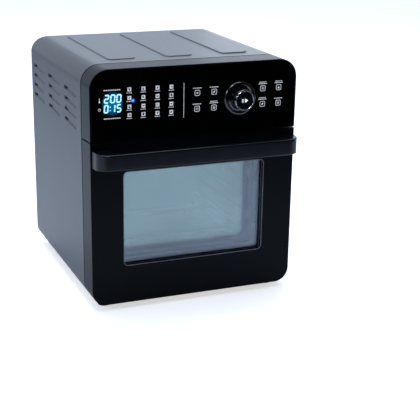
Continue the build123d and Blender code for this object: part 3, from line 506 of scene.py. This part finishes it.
def numeral(bm, digit, x, z, width, tall, line, height):
    """A slightly slanted seven-segment numeral about its centre."""
    right, left, half = width / 2 - line / 2, line / 2 - width / 2, tall / 2 - line / 2
    gap = line * 0.15
    runs = {"a": ((left + gap, half), (right - gap, half)), "d": ((left + gap, -half), (right - gap, -half)),
            "g": ((left + gap, 0), (right - gap, 0)),
            "b": ((right, gap), (right, half - gap)), "c": ((right, gap - half), (right, -gap)),
            "f": ((left, gap), (left, half - gap)), "e": ((left, gap - half), (left, -gap))}
    for name in SEGMENTS[digit]:
        ends = [(x + u + v * 0.08, z + v) for u, v in runs[name]]
        stroke(bm, ends[0], ends[1], line, height)


def drumstick(bm, x, z, s, h):
    dot(bm, x - 0.25 * s, z + 0.2 * s, 0.55 * s, h)
    stroke(bm, (x, z - 0.1 * s), (x + 0.8 * s, z - 0.8 * s), 0.24 * s, h)


def fries(bm, x, z, s, h):
    for part in (-0.5, -0.17, 0.17, 0.5):
        stroke(bm, (x + part * s, z), (x + part * 1.3 * s, z + 0.9 * s), 0.2 * s, h)
    mark(bm, [(x - 0.65 * s, z + 0.1 * s), (x - 0.45 * s, z - 0.85 * s), (x + 0.45 * s, z - 0.85 * s),
              (x + 0.65 * s, z + 0.1 * s)], h)


def fish(bm, x, z, s, h):
    mark(bm, [(x - 0.9 * s, z), (x - 0.4 * s, z + 0.42 * s), (x + 0.2 * s, z + 0.36 * s), (x + 0.5 * s, z),
              (x + 0.2 * s, z - 0.36 * s), (x - 0.4 * s, z - 0.42 * s)], h)
    mark(bm, [(x + 0.45 * s, z), (x + 0.95 * s, z + 0.45 * s), (x + 0.95 * s, z - 0.45 * s)], h)


def slice_of_pie(bm, x, z, s, h):
    mark(bm, [(x - 0.8 * s, z + 0.45 * s), (x, z - 0.9 * s), (x + 0.8 * s, z + 0.45 * s)], h)
    stroke(bm, (x - 0.85 * s, z + 0.7 * s), (x + 0.85 * s, z + 0.7 * s), 0.22 * s, h)


def steak(bm, x, z, s, h):
    ring(bm, x, z, 0.8 * s, 0.3 * s, h, 14)
    dot(bm, x + 0.1 * s, z, 0.22 * s, h, 8)


def prawn(bm, x, z, s, h):
    for step in range(7):
        turn = math.radians(-60 + step * 40)
        dot(bm, x + 0.5 * s * math.cos(turn), z + 0.5 * s * math.sin(turn), (0.34 - 0.02 * step) * s, h, 8)


def cake(bm, x, z, s, h):
    mark(bm, box_points(x, z - 0.4 * s, 1.5 * s, 0.75 * s), h)
    mark(bm, box_points(x, z + 0.25 * s, 1.1 * s, 0.3 * s), h)
    stroke(bm, (x, z + 0.45 * s), (x, z + 0.95 * s), 0.16 * s, h)


def loaf(bm, x, z, s, h):
    mark(bm, box_points(x, z - 0.25 * s, 1.2 * s, 1.0 * s), h)
    dot(bm, x, z + 0.3 * s, 0.72 * s, h, 12, 0, math.pi)


def leaf(bm, x, z, s, h):
    mark(bm, [(x - 0.7 * s, z - 0.7 * s), (x - 0.5 * s, z + 0.3 * s), (x + 0.8 * s, z + 0.8 * s),
              (x + 0.3 * s, z - 0.5 * s)], h)


def waves(bm, x, z, s, h):
    for level in (-0.55, 0.0, 0.55):
        for part in range(4):
            rise = 0.16 * s * (1 if part % 2 else -1)
            left = x - 0.85 * s + part * 0.42 * s
            stroke(bm, (left, z + level * s - rise), (left + 0.42 * s, z + level * s + rise), 0.17 * s, h)


def spit(bm, x, z, s, h):
    stroke(bm, (x - 0.95 * s, z), (x + 0.95 * s, z), 0.16 * s, h)
    dot(bm, x, z, 0.5 * s, h, 12)


def kebab(bm, x, z, s, h):
    stroke(bm, (x - 0.85 * s, z - 0.85 * s), (x + 0.85 * s, z + 0.85 * s), 0.14 * s, h)
    for part in (-0.45, 0.0, 0.45):
        dot(bm, x + part * s, z + part * s, 0.27 * s, h, 8)


PRESETS = (slice_of_pie, fries, leaf, prawn, kebab, drumstick, steak, loaf,
           cake, fish, waves, spit, prawn, loaf, slice_of_pie, leaf)
KEY_SIGNS = (spit, waves, leaf, steak, waves, leaf, cake, steak)


# ---- pieces ----

class OVEN_OT_finishes(bpy.types.Operator):
    """Give every node of the frame its procedural finish"""
    bl_idname = "oven.finishes"
    bl_label = "Finishes"

    def execute(self, context):
        FINISHES.update(make_finishes(context.scene.oven_colours))
        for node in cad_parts.values():
            for held in node.material_slots:
                held.material = FINISHES[held.material.name]
        return {"FINISHED"}


class OVEN_OT_case(bpy.types.Operator):
    """Folded wrapper with softened sheet edges, and the back"""
    bl_idname = "oven.case"
    bl_label = "Case"

    def execute(self, context):
        edge = context.scene.oven_sizes.sheet_edge
        front = low("outer_wrapper").y
        wrapper = copy_of("outer_wrapper")
        soften(wrapper, edge, wanted=lambda e: max(v.co.y for v in e.verts) < front + MM / 4)
        top, pads = high("back_panel").z + MM, high("outer_wrapper").z - MM / 2
        soften(wrapper, edge * 0.8, angle=math.radians(30),
               wanted=lambda e: top < min(v.co.z for v in e.verts) < pads)
        soften(wrapper, PAD_EDGE, segments=4, wanted=lambda e: min(v.co.z for v in e.verts) > pads)
        add_piece(context, wrapper, "case_wrapper", "root", "case_paint", ["outer_wrapper"], outward=False,
                  crease=32)
        add_piece(context, copy_of("back_panel"), "case_back", "root", "case_paint", ["back_panel"],
                  outward=False, crease=32)
        return {"FINISHED"}


def on_seam(edge):
    """Whether an edge is on the outer rim of a front moulding's back."""
    back, half, top = high("door_shell").y, high("control_bezel").x, high("control_bezel").z
    for vert in edge.verts:
        across = max(abs(vert.co.x) - half + CASE_CORNER, 0)
        above = max(vert.co.z - top + CASE_CORNER, 0)
        if abs(vert.co.y - back) > MM / 20 or math.hypot(across, above) < CASE_CORNER - MM:
            return False
    return True


def add_seam_shadow(context):
    """Black strip in the groove between the front mouldings and the case: a painted shadow, a dark sheet
    where the groove only has shade.
    """
    outer, top, foot = high("control_bezel").x, high("control_bezel").z, 45 * MM
    proud, deep = SEAM_SHADOW_STRIP
    start = high("door_shell").y + 0.1 * MM
    stop = low("outer_wrapper").y - 0.1 * MM
    points, radii = [], []
    for inset, turn in ((proud, 1), (deep, -1)):
        side, crown = outer - inset, top - inset
        leg = [(-side, foot), (-side, crown), (side, crown), (side, foot)]
        points += leg[::turn]
        radii += [0, CASE_CORNER - inset, CASE_CORNER - inset, 0]
    bm = bmesh.new()
    face = rounded(bm, points, radii, start, 14)
    thicken(bm, [face], (0, stop - start, 0))
    # Painted shadow: near-black matte finish standing for the shade inside the seam's gap
    painted_shadow = finish("Painted seam shadow", (0.0012, 0.0016, 0.0022), rough=0.85, grain=1400, specular=0.05)
    add_piece(context, bm, "painted_seam_shadow", "root", "soft_rubber", material=painted_shadow)


class OVEN_OT_front(bpy.types.Operator):
    """Control bezel with softened moulding edges, and the sill"""
    bl_idname = "oven.front"
    bl_label = "Front mouldings"

    def execute(self, context):
        edge = context.scene.oven_sizes.moulding_edge
        bezel = copy_of("control_bezel")
        glass_low, glass_high = low("control_glass"), high("control_glass")
        brow = glass_low.z + 2 * MM

        def rim(e):
            inside = all(abs(v.co.x) < glass_high.x + MM and v.co.z < glass_high.z + MM for v in e.verts)
            return max(v.co.y for v in e.verts) < FACE + MM / 2 and max(v.co.z for v in e.verts) > brow \
                and not inside
        soften(bezel, edge, wanted=rim, segments=3)
        soften(bezel, SEAM_EDGE, wanted=on_seam)
        add_piece(context, bezel, "front_bezel", "root", "front_moulding", ["control_bezel"], outward=False)
        # Painted shadow strip in the groove between the mouldings and the case
        add_seam_shadow(context)
        sill = copy_of("sill")
        add_piece(context, sill, "front_sill", "root", "front_moulding", ["sill"], outward=False)
        return {"FINISHED"}


class OVEN_OT_touch_glass(bpy.types.Operator):
    """Black touch glass with a ground edge"""
    bl_idname = "oven.touch_glass"
    bl_label = "Touch glass"

    def execute(self, context):
        sizes = context.scene.oven_sizes
        lowest, highest = low("control_glass"), high("control_glass")
        bm = bmesh.new()
        corner = high("control_bezel").x - highest.x
        radius = CASE_CORNER - corner
        points = [(lowest.x, lowest.z), (highest.x, lowest.z), (highest.x, highest.z), (lowest.x, highest.z)]
        face = rounded(bm, points, (0, 0, radius, radius), GLASS_FACE, 14)
        thicken(bm, [face], (0, highest.y - GLASS_FACE, 0))
        bmesh.ops.recalc_face_normals(bm, faces=bm.faces)
        soften(bm, sizes.glass_edge, wanted=lambda e: max(v.co.y for v in e.verts) < GLASS_FACE + WELD)
        add_piece(context, bm, "touch_pane", "root", "touch_glass", ["control_glass"])
        return {"FINISHED"}


class OVEN_OT_display(bpy.types.Operator):
    """Lit numerals, their window and the small symbols beside them"""
    bl_idname = "oven.display"
    bl_label = "Display"

    def execute(self, context):
        sizes, tints = context.scene.oven_sizes, context.scene.oven_colours
        h = sizes.mark_height
        window = bmesh.new()
        mark(window, box_points(*(part * MM for part in DISPLAY_CENTRE + DISPLAY_SIZE)), h * 0.5)
        glow = glow_finish("Display glow", tints.glow, (GLOW_CENTRE[0] * MM, GLASS_FACE, GLOW_CENTRE[1] * MM),
                           tuple(part * MM for part in GLOW_REACH), 0.85)
        add_piece(context, window, "display_window", "root", "display_light", material=glow)
        lit = bmesh.new()
        for level, width, tall, digits in DIGIT_ROWS:
            for centre, digit in digits:
                numeral(lit, digit, centre * MM, level * MM, width * MM, tall * MM, DIGIT_LINE * MM, h)
        for level in COLON_LEVELS:
            dot(lit, COLON_X * MM, level * MM, 0.9 * MM, h, 10)
        add_piece(context, lit, "display_numerals", "root", "display_light")
        signs = bmesh.new()
        x, clock = SYMBOL_X * MM, CLOCK_Z * MM
        stroke(signs, (x, 326.5 * MM), (x, 332 * MM), 0.9 * MM, h)
        dot(signs, x, 326.3 * MM, 1.2 * MM, h, 12)
        ring(signs, x, clock, 2.1 * MM, 0.6 * MM, h, 16)
        stroke(signs, (x, clock), (x, clock + 1.4 * MM), 0.5 * MM, h)
        for level in HEADING_LEVELS:
            word(signs, HEADING_X * MM, level * MM, 26 * MM, 1.3 * MM, h)
        add_piece(context, signs, "display_symbols", "root", "light_guide")
        return {"FINISHED"}


class OVEN_OT_presets(bpy.types.Operator):
    """Sixteen backlit preset pictograms with their captions"""
    bl_idname = "oven.presets"
    bl_label = "Presets"

    def execute(self, context):
        h = context.scene.oven_sizes.mark_height
        bm, pictograms = bmesh.new(), bmesh.new()
        draw = iter(PRESETS)
        for z in PRESET_ROWS:
            for x in PRESET_COLUMNS:
                mark(bm, box_points(x * MM, (z + 0.7) * MM, PRESET_TILE * MM, PRESET_TILE * MM), h)
                next(draw)(pictograms, x * MM, (z + 0.7) * MM, SIGN_SIZE * MM, 2 * h)
                word(bm, x * MM, (z - 4.4) * MM, 8.6 * MM, 0.9 * MM, h)
        foot, top = DIVIDER_ENDS
        stroke(bm, (DIVIDER_X * MM, foot * MM), (DIVIDER_X * MM, top * MM), 0.65 * MM, h)
        add_piece(context, bm, "preset_marks", "root", "light_guide")
        add_piece(context, pictograms, "preset_pictograms", "root", "touch_glass")
        lamp = bmesh.new()
        lamp_x, lamp_z = (part * MM for part in LAMP_SPOT)
        core, reach = (radius * MM for radius in LAMP_RADII)
        dot(lamp, lamp_x, lamp_z, core, h, 14)
        blue = light_finish("Blue lamp", (0.10, 0.36, 1.0), 1.6)
        add_piece(context, lamp, "preset_lamp", "root", "display_light", material=blue)
        halo = bmesh.new()
        dot(halo, lamp_x, lamp_z, reach, h * 0.5, 20)
        haze = glow_finish("Lamp halo", (0.01, 0.06, 0.35), (lamp_x, GLASS_FACE, lamp_z), (reach,) * 3, 2.6)
        add_piece(context, halo, "lamp_halo", "root", "display_light", material=haze)
        return {"FINISHED"}


class OVEN_OT_keys(bpy.types.Operator):
    """Eight outlined touch keys with their symbols and captions"""
    bl_idname = "oven.keys"
    bl_label = "Touch keys"

    def execute(self, context):
        h = context.scene.oven_sizes.mark_height
        bm = bmesh.new()
        draw = iter(KEY_SIGNS)
        for column, x in enumerate(KEY_COLUMNS):
            for row, z in enumerate(KEY_ROWS):
                x_mid, z_mid = x * MM, z * MM
                key_outline(bm, x_mid, z_mid, KEY_SIZE * MM, 2.0 * MM, 0.75 * MM, h)
                next(draw)(bm, x_mid, z_mid, SIGN_SIZE * MM, h)
                word(bm, x_mid, (z + 7.2) * MM, 14 * MM, 1.1 * MM, h)
                if (column, row) in TWO_LINE_KEYS:
                    word(bm, x_mid, (z + 9.6) * MM, 12 * MM, 1.1 * MM, h)
        add_piece(context, bm, "key_marks", "root", "light_guide")
        return {"FINISHED"}


class OVEN_OT_knob(bpy.types.Operator):
    """Turned knob with its chrome ring and the start-pause sign"""
    bl_idname = "oven.knob"
    bl_label = "Knob"

    def execute(self, context):
        h = context.scene.oven_sizes.mark_height
        lowest, highest = low("knob"), high("knob")
        front = highest.y - lowest.y
        flange = (highest.x - lowest.x) / 2
        drum = DRUM_RADIUS
        centre = Vector((KNOB_CENTRE.x, highest.y, KNOB_CENTRE.z))
        groove_in, groove_out = BAND_RADII
        profile = [(0, 0), (flange - 1.2 * MM, 0), (flange - 0.3 * MM, 0.4 * MM), (flange, 1.4 * MM),
                   (flange - 0.2 * MM, 2.6 * MM), (flange - 0.9 * MM, 3.9 * MM),
                   (flange - 2.0 * MM, 4.7 * MM), (flange - 3.4 * MM, 5.0 * MM),
                   (flange - 4.8 * MM, 4.7 * MM), (drum + 2.4 * MM, 4.2 * MM),
                   (drum + 1.0 * MM, 4.8 * MM), (drum + 0.3 * MM, 6.4 * MM), (drum, 8.0 * MM),
                   (drum, front - 1.6 * MM),
                   (drum - 0.35 * MM, front - 0.7 * MM), (drum - 0.9 * MM, front - 0.15 * MM),
                   (drum - 1.4 * MM, front), (groove_out, front - 0.8 * MM), (groove_in, front - 0.8 * MM),
                   (groove_in - 0.1 * MM, front - 0.1 * MM), (groove_in - 0.5 * MM, front), (0, front)]
        bm = bmesh.new()
        turned(bm, profile, centre, (0, -1, 0), 96)
        add_piece(context, bm, "knob_body", "knob", "knob_gloss", ["knob"], crease=30)
        band = bmesh.new()
        lift = centre.y - low("knob_ring").y
        profile = [(groove_out - 0.05 * MM, lift - 0.9 * MM), (groove_out - 0.05 * MM, lift - 0.25 * MM),
                   (groove_out - 0.3 * MM, lift), (groove_in + 0.3 * MM, lift),
                   (groove_in + 0.05 * MM, lift - 0.25 * MM), (groove_in + 0.05 * MM, lift - 0.9 * MM),
                   (groove_out - 0.05 * MM, lift - 0.9 * MM)]
        turned(band, profile, centre, (0, -1, 0), 96)
        add_piece(context, band, "knob_band", "knob", "chrome_trim", ["knob_ring"])
        sign = bmesh.new()
        for x in (-4.2, -1.9):
            stroke(sign, (x * MM, -2.9 * MM), (x * MM, 2.9 * MM), 0.8 * MM, h)
        mark(sign, [(0.5 * MM, -3.2 * MM), (5.0 * MM, 0), (0.5 * MM, 3.2 * MM)], h)
        shift = Vector((KNOB_CENTRE.x, lowest.y - GLASS_FACE, KNOB_CENTRE.z))
        bmesh.ops.translate(sign, verts=sign.verts, vec=shift)
        lit = light_finish("Start sign", (0.80, 0.84, 0.90), 0.95)
        add_piece(context, sign, "knob_sign", "knob", "light_guide", material=lit)
        return {"FINISHED"}


def band(bm, outer, inner, start, reach):
    """A closed frame between two rounded outlines, from one depth to another."""
    loops = []
    for points, radius in (outer, inner):
        sketch = bmesh.new()
        face = rounded(sketch, points, [radius] * 4, start, 8)
        loops.append([corner.co.copy() for corner in face.verts])
        sketch.free()
    rims = [[bm.verts.new(point) for point in loop] for loop in loops]
    edges = [bm.edges.new((rim[step - 1], rim[step])) for rim in rims for step in range(len(rim))]
    made = bmesh.ops.bridge_loops(bm, edges=edges)
    thicken(bm, made["faces"], (0, reach, 0))


def add_window_highlights(context):
    """Light grey strips where the window frame turns in and where it meets the glass: painted highlight lines
    along those edges.
    """
    lowest, highest = low("door_outer_glass"), high("door_outer_glass")
    centre = (lowest + highest) / 2
    width = highest.x - lowest.x - 2 * WINDOW_LAP
    height = highest.z - lowest.z - 2 * WINDOW_LAP
    bm = bmesh.new()
    for start, reach, inset, wide in ((FACE + 0.1 * MM, 0.9 * MM, -0.75 * MM, 1.2 * MM),
                                      (lowest.y - 0.7 * MM, 0.8 * MM, 0.02 * MM, 0.55 * MM)):
        outer = box_points(centre.x, centre.z, width - 2 * inset, height - 2 * inset)
        inner = box_points(centre.x, centre.z, width - 2 * (inset + wide), height - 2 * (inset + wide))
        band(bm, (outer, WINDOW_CORNER - inset), (inner, WINDOW_CORNER - inset - wide), start, reach)
    bmesh.ops.recalc_face_normals(bm, faces=bm.faces)
    soften(bm, HIGHLIGHT_STRIP_EDGE)
    # Painted highlight: light grey strips stand for light caught on the window opening's edges
    highlight_strip = finish("Window highlight strip", (0.16, 0.18, 0.20), rough=0.3, grain=900, depth=0.002, metallic=0.3)
    add_piece(context, bm, "painted_window_highlights", "door", "front_moulding", material=highlight_strip)


class OVEN_OT_door(bpy.types.Operator):
    """Door moulding, its window frame, both panes and the inner panel"""
    bl_idname = "oven.door"
    bl_label = "Door"

    def execute(self, context):
        sizes = context.scene.oven_sizes
        shell = copy_of("door_shell")
        soften(shell, sizes.moulding_edge, segments=3,
               wanted=lambda e: max(v.co.y for v in e.verts) < FACE + MM / 2)
        soften(shell, SEAM_EDGE, wanted=on_seam)
        add_piece(context, shell, "door_moulding", "door", "front_moulding", ["door_shell"], outward=False)
        tints = context.scene.oven_colours
        heat_film = pane_finish("Heat-film glass", tints.window, tints.inner_film, INNER_MIRROR)
        for node, name, glass in (("door_outer_glass", "door_outer_pane", None),
                                  ("door_inner_glass", "door_inner_pane", heat_film)):
            lowest, highest = low(node), high(node)
            centre = (lowest + highest) / 2
            points = box_points(centre.x, centre.z, highest.x - lowest.x, highest.z - lowest.z)
            bm = bmesh.new()
            face = rounded(bm, points, [PANE_CORNER] * 4, lowest.y, 8)
            thicken(bm, [face], (0, highest.y - lowest.y, 0))
            bmesh.ops.recalc_face_normals(bm, faces=bm.faces)
            soften(bm, sizes.glass_edge)
            add_piece(context, bm, name, "door", "window_glass", [node], material=glass)
        # Painted highlight lines around the window opening
        add_window_highlights(context)
        panel = copy_of("door_inner_panel")
        soften(panel, sizes.sheet_edge)
        add_piece(context, panel, "door_panel", "door", "bright_steel", ["door_inner_panel"], outward=False)
        return {"FINISHED"}


class OVEN_OT_handle(bpy.types.Operator):
    """Full-width handle with rounded corners and a finger gap"""
    bl_idname = "oven.handle"
    bl_label = "Handle"

    def execute(self, context):
        sizes = context.scene.oven_sizes
        lowest, highest = low("door_handle"), high("door_handle")
        half, front, back = highest.x, lowest.y, FACE
        grip, gap = sizes.grip_half, front + sizes.handle_bar
        slim, neck = half - HANDLE_DRAFT, back - HANDLE_DRAFT_REACH
        points = [(-half, back), (-slim, neck), (-slim, front), (slim, front), (slim, neck), (half, back),
                  (grip, back), (grip, gap), (-grip, gap), (-grip, back)]
        radii = [0, 0, sizes.handle_corner, sizes.handle_corner, 0, 0, 0, GRIP_CORNER, GRIP_CORNER, 0]
        bm = bmesh.new()
        corners = [bm.verts.new((x, y, lowest.z)) for x, y in points]
        bm.faces.new(corners)
        for corner, radius in zip(corners, radii):
            if radius:
                bmesh.ops.bevel(bm, geom=[corner], offset=radius, segments=12, profile=0.5,
                                affect="VERTICES", material=-1)
        thicken(bm, bm.faces[:], (0, 0, highest.z - lowest.z))
        bmesh.ops.recalc_face_normals(bm, faces=bm.faces)
        soften(bm, sizes.handle_edge, segments=5,
               wanted=lambda e: abs(e.verts[0].co.z - e.verts[1].co.z) < WELD
               and not all(v.co.y > FACE - WELD for v in e.verts)
               and all(abs(v.co.y - gap) > HANDLE_DRAFT_REACH or v.co.y < gap + WELD for v in e.verts))
        add_piece(context, bm, "handle_bar", "door", "handle_moulding", ["door_handle"])
        return {"FINISHED"}


class OVEN_OT_feet(bpy.types.Operator):
    """Moulded rubber feet and rear bumpers"""
    bl_idname = "oven.feet"
    bl_label = "Feet and bumpers"

    def execute(self, context):
        tall = context.scene.oven_sizes.foot_height
        lowest, highest = low("feet"), high("feet")
        wide = 12 * MM
        profile = [(4.1 * MM, 4 * MM), (4.1 * MM, 0.5 * MM), (4.6 * MM, 0), (wide - 3.2 * MM, 0),
                   (wide - 2.3 * MM, 0.4 * MM), (wide - 1.9 * MM, 1.2 * MM), (wide - 1.5 * MM, 4 * MM),
                   (wide - 1.2 * MM, 4.3 * MM), (wide - 0.8 * MM, 6 * MM), (wide - 0.2 * MM, tall - 0.6 * MM),
                   (wide - 0.2 * MM, tall), (4.1 * MM, tall), (4.1 * MM, 4 * MM)]
        feet = bmesh.new()
        for x in (lowest.x + wide, highest.x - wide):
            for y in (lowest.y + wide, highest.y - wide):
                turned(feet, profile, Vector((x, y, 0)), (0, 0, 1), 40)
        add_piece(context, feet, "rubber_feet", "root", "soft_rubber", ["feet"])
        lowest, highest = low("rear_spacers"), high("rear_spacers")
        radius = (highest.z - lowest.z) / 2
        start = high("back_panel").y
        reach = highest.y - start
        profile = [(0, 0), (radius, 0), (radius, 1.5 * MM), (radius - 0.6 * MM, 2.0 * MM),
                   (radius - 1.2 * MM, reach - 2.5 * MM), (radius - 2.0 * MM, reach - 0.8 * MM),
                   (radius - 3.5 * MM, reach), (4 * MM, reach), (3.2 * MM, reach - 0.6 * MM),
                   (0, reach - 0.8 * MM)]
        bumpers = bmesh.new()
        for x in (lowest.x + radius, highest.x - radius):
            turned(bumpers, profile, Vector((x, start, middle("rear_spacers").z)), (0, 1, 0), 40)
        add_piece(context, bumpers, "rear_bumpers", "root", "soft_rubber", ["rear_spacers"])
        return {"FINISHED"}


def light_the_room(tree):
    """A cool room that is bright behind the oven and overhead and dim in front, on a white backdrop."""
    room = tree.nodes["Background"]
    place = tree.nodes.new("ShaderNodeTexCoord")
    split = tree.nodes.new("ShaderNodeSeparateXYZ")
    tree.links.new(place.outputs["Generated"], split.inputs["Vector"])
    depth = tree.nodes.new("ShaderNodeMapRange")
    depth.inputs["From Min"].default_value = -0.25
    depth.inputs["From Max"].default_value = 0.35
    tree.links.new(split.outputs["Y"], depth.inputs["Value"])
    shade = ramp(tree, depth.outputs["Result"], ROOM_DIM, ROOM_BRIGHT, 0.0, 1.0)
    tree.links.new(shade, room.inputs["Color"])
    backdrop = tree.nodes.new("ShaderNodeBackground")
    backdrop.inputs["Color"].default_value = (1, 1, 1, 1)
    seen = tree.nodes.new("ShaderNodeLightPath")
    mix = tree.nodes.new("ShaderNodeMixShader")
    tree.links.new(seen.outputs["Is Camera Ray"], mix.inputs["Fac"])
    tree.links.new(room.outputs["Background"], mix.inputs[1])
    tree.links.new(backdrop.outputs["Background"], mix.inputs[2])
    tree.links.new(mix.outputs["Shader"], tree.nodes["World Output"].inputs["Surface"])


def floor_finish():
    """Pale, evenly lit sweep."""
    material, tree, shader = new_finish("Pale floor")
    shade = ramp(tree, noise(tree, 12.0, detail=1.0), (0.76, 0.80, 0.87, 1), (0.78, 0.82, 0.89, 1))
    tree.links.new(shade, shader.inputs["Base Color"])
    shader.inputs["Roughness"].default_value = 0.9
    shader.inputs["Specular IOR Level"].default_value = 0.1
    plain = tree.nodes.new("ShaderNodeEmission")
    seen = tree.nodes.new("ShaderNodeLightPath")
    lift = tree.nodes.new("ShaderNodeMath")
    lift.operation = "MULTIPLY"
    lift.inputs[1].default_value = FLOOR_LIFT
    tree.links.new(seen.outputs["Is Camera Ray"], lift.inputs[0])
    tree.links.new(lift.outputs["Value"], plain.inputs["Strength"])
    total = tree.nodes.new("ShaderNodeAddShader")
    tree.links.new(shader.outputs["BSDF"], total.inputs[0])
    tree.links.new(plain.outputs["Emission"], total.inputs[1])
    tree.links.new(total.outputs["Shader"], tree.nodes["Material Output"].inputs["Surface"])
    return material


class OVEN_OT_stage(bpy.types.Operator):
    """Pale floor, soft lights and the camera"""
    bl_idname = "oven.stage"
    bl_label = "Stage"

    def execute(self, context):
        scene = context.scene
        scene.view_settings.view_transform = "Standard"
        floor_bm = bmesh.new()
        bmesh.ops.create_grid(floor_bm, x_segments=8, y_segments=8, size=1.0)
        bmesh.ops.scale(floor_bm, vec=FLOOR_HALF, verts=floor_bm.verts)
        bmesh.ops.translate(floor_bm, vec=FLOOR_SHIFT, verts=floor_bm.verts)
        mesh = bpy.data.meshes.new("floor")
        floor_bm.to_mesh(mesh)
        floor_bm.free()
        mesh.materials.append(floor_finish())
        floor = bpy.data.objects.new("floor", mesh)
        scene.collection.objects.link(floor)
        world = bpy.data.worlds.new("Studio")
        scene.world = world
        world.use_nodes = True
        light_the_room(world.node_tree)
        for name, place, target, size, power, tint in LIGHTS:
            lamp = bpy.data.lights.new(name, "AREA")
            lamp.shape = "SQUARE"
            lamp.size = size
            lamp.energy = power
            lamp.color = tint
            holder = bpy.data.objects.new(name, lamp)
            holder.visible_camera = False
            aim = (Vector(target) - Vector(place)).to_track_quat("-Z", "Y")
            holder.matrix_world = Matrix.Translation(place) @ aim.to_matrix().to_4x4()
            scene.collection.objects.link(holder)
        yaw, pitch, roll = (math.radians(angle) for angle in CAMERA_ANGLES)
        ahead = Vector((math.sin(yaw) * math.cos(pitch), math.cos(yaw) * math.cos(pitch), -math.sin(pitch)))
        right = ahead.cross(Vector((0, 0, 1))).normalized()
        up = right.cross(ahead)
        right, up = (math.cos(roll) * right + math.sin(roll) * up,
                     math.cos(roll) * up - math.sin(roll) * right)
        lens = bpy.data.cameras.new("camera")
        lens.lens = CAMERA_LENS
        lens.sensor_width = CAMERA_SENSOR
        lens.shift_x, lens.shift_y = CAMERA_SHIFT
        camera = bpy.data.objects.new("camera", lens)
        turn = Matrix((right, up, -ahead)).transposed().to_4x4()
        camera.matrix_world = Matrix.Translation(CAMERA_PLACE) @ turn
        scene.collection.objects.link(camera)
        scene.camera = camera
        return {"FINISHED"}


STEPS = (OVEN_OT_finishes, OVEN_OT_case, OVEN_OT_front, OVEN_OT_touch_glass, OVEN_OT_display, OVEN_OT_presets,
         OVEN_OT_keys, OVEN_OT_knob, OVEN_OT_door, OVEN_OT_handle, OVEN_OT_feet, OVEN_OT_stage)


class OVEN_PT_panel(bpy.types.Panel):
    """Lists the oven's pieces and settings"""
    bl_idname = "OVEN_PT_panel"
    bl_label = "Oven"
    bl_space_type = "VIEW_3D"
    bl_region_type = "UI"
    bl_category = "Oven"

    def draw(self, context):
        column = self.layout.column()
        for settings in (context.scene.oven_sizes, context.scene.oven_colours):
            for key in settings.__annotations__:
                column.prop(settings, key)
        for step in STEPS:
            column.operator(step.bl_idname)


CLASSES = (OvenSizes, OvenColours) + STEPS + (OVEN_PT_panel,)


def register():
    for item in CLASSES:
        bpy.utils.register_class(item)
    bpy.types.Scene.oven_sizes = PointerProperty(type=OvenSizes)
    bpy.types.Scene.oven_colours = PointerProperty(type=OvenColours)


def unregister():
    del bpy.types.Scene.oven_colours
    del bpy.types.Scene.oven_sizes
    for item in reversed(CLASSES):
        bpy.utils.unregister_class(item)


def main():
    register()
    for step in STEPS:
        group, name = step.bl_idname.split(".")
        getattr(getattr(bpy.ops, group), name)()


if __name__ == "__main__":
    main()
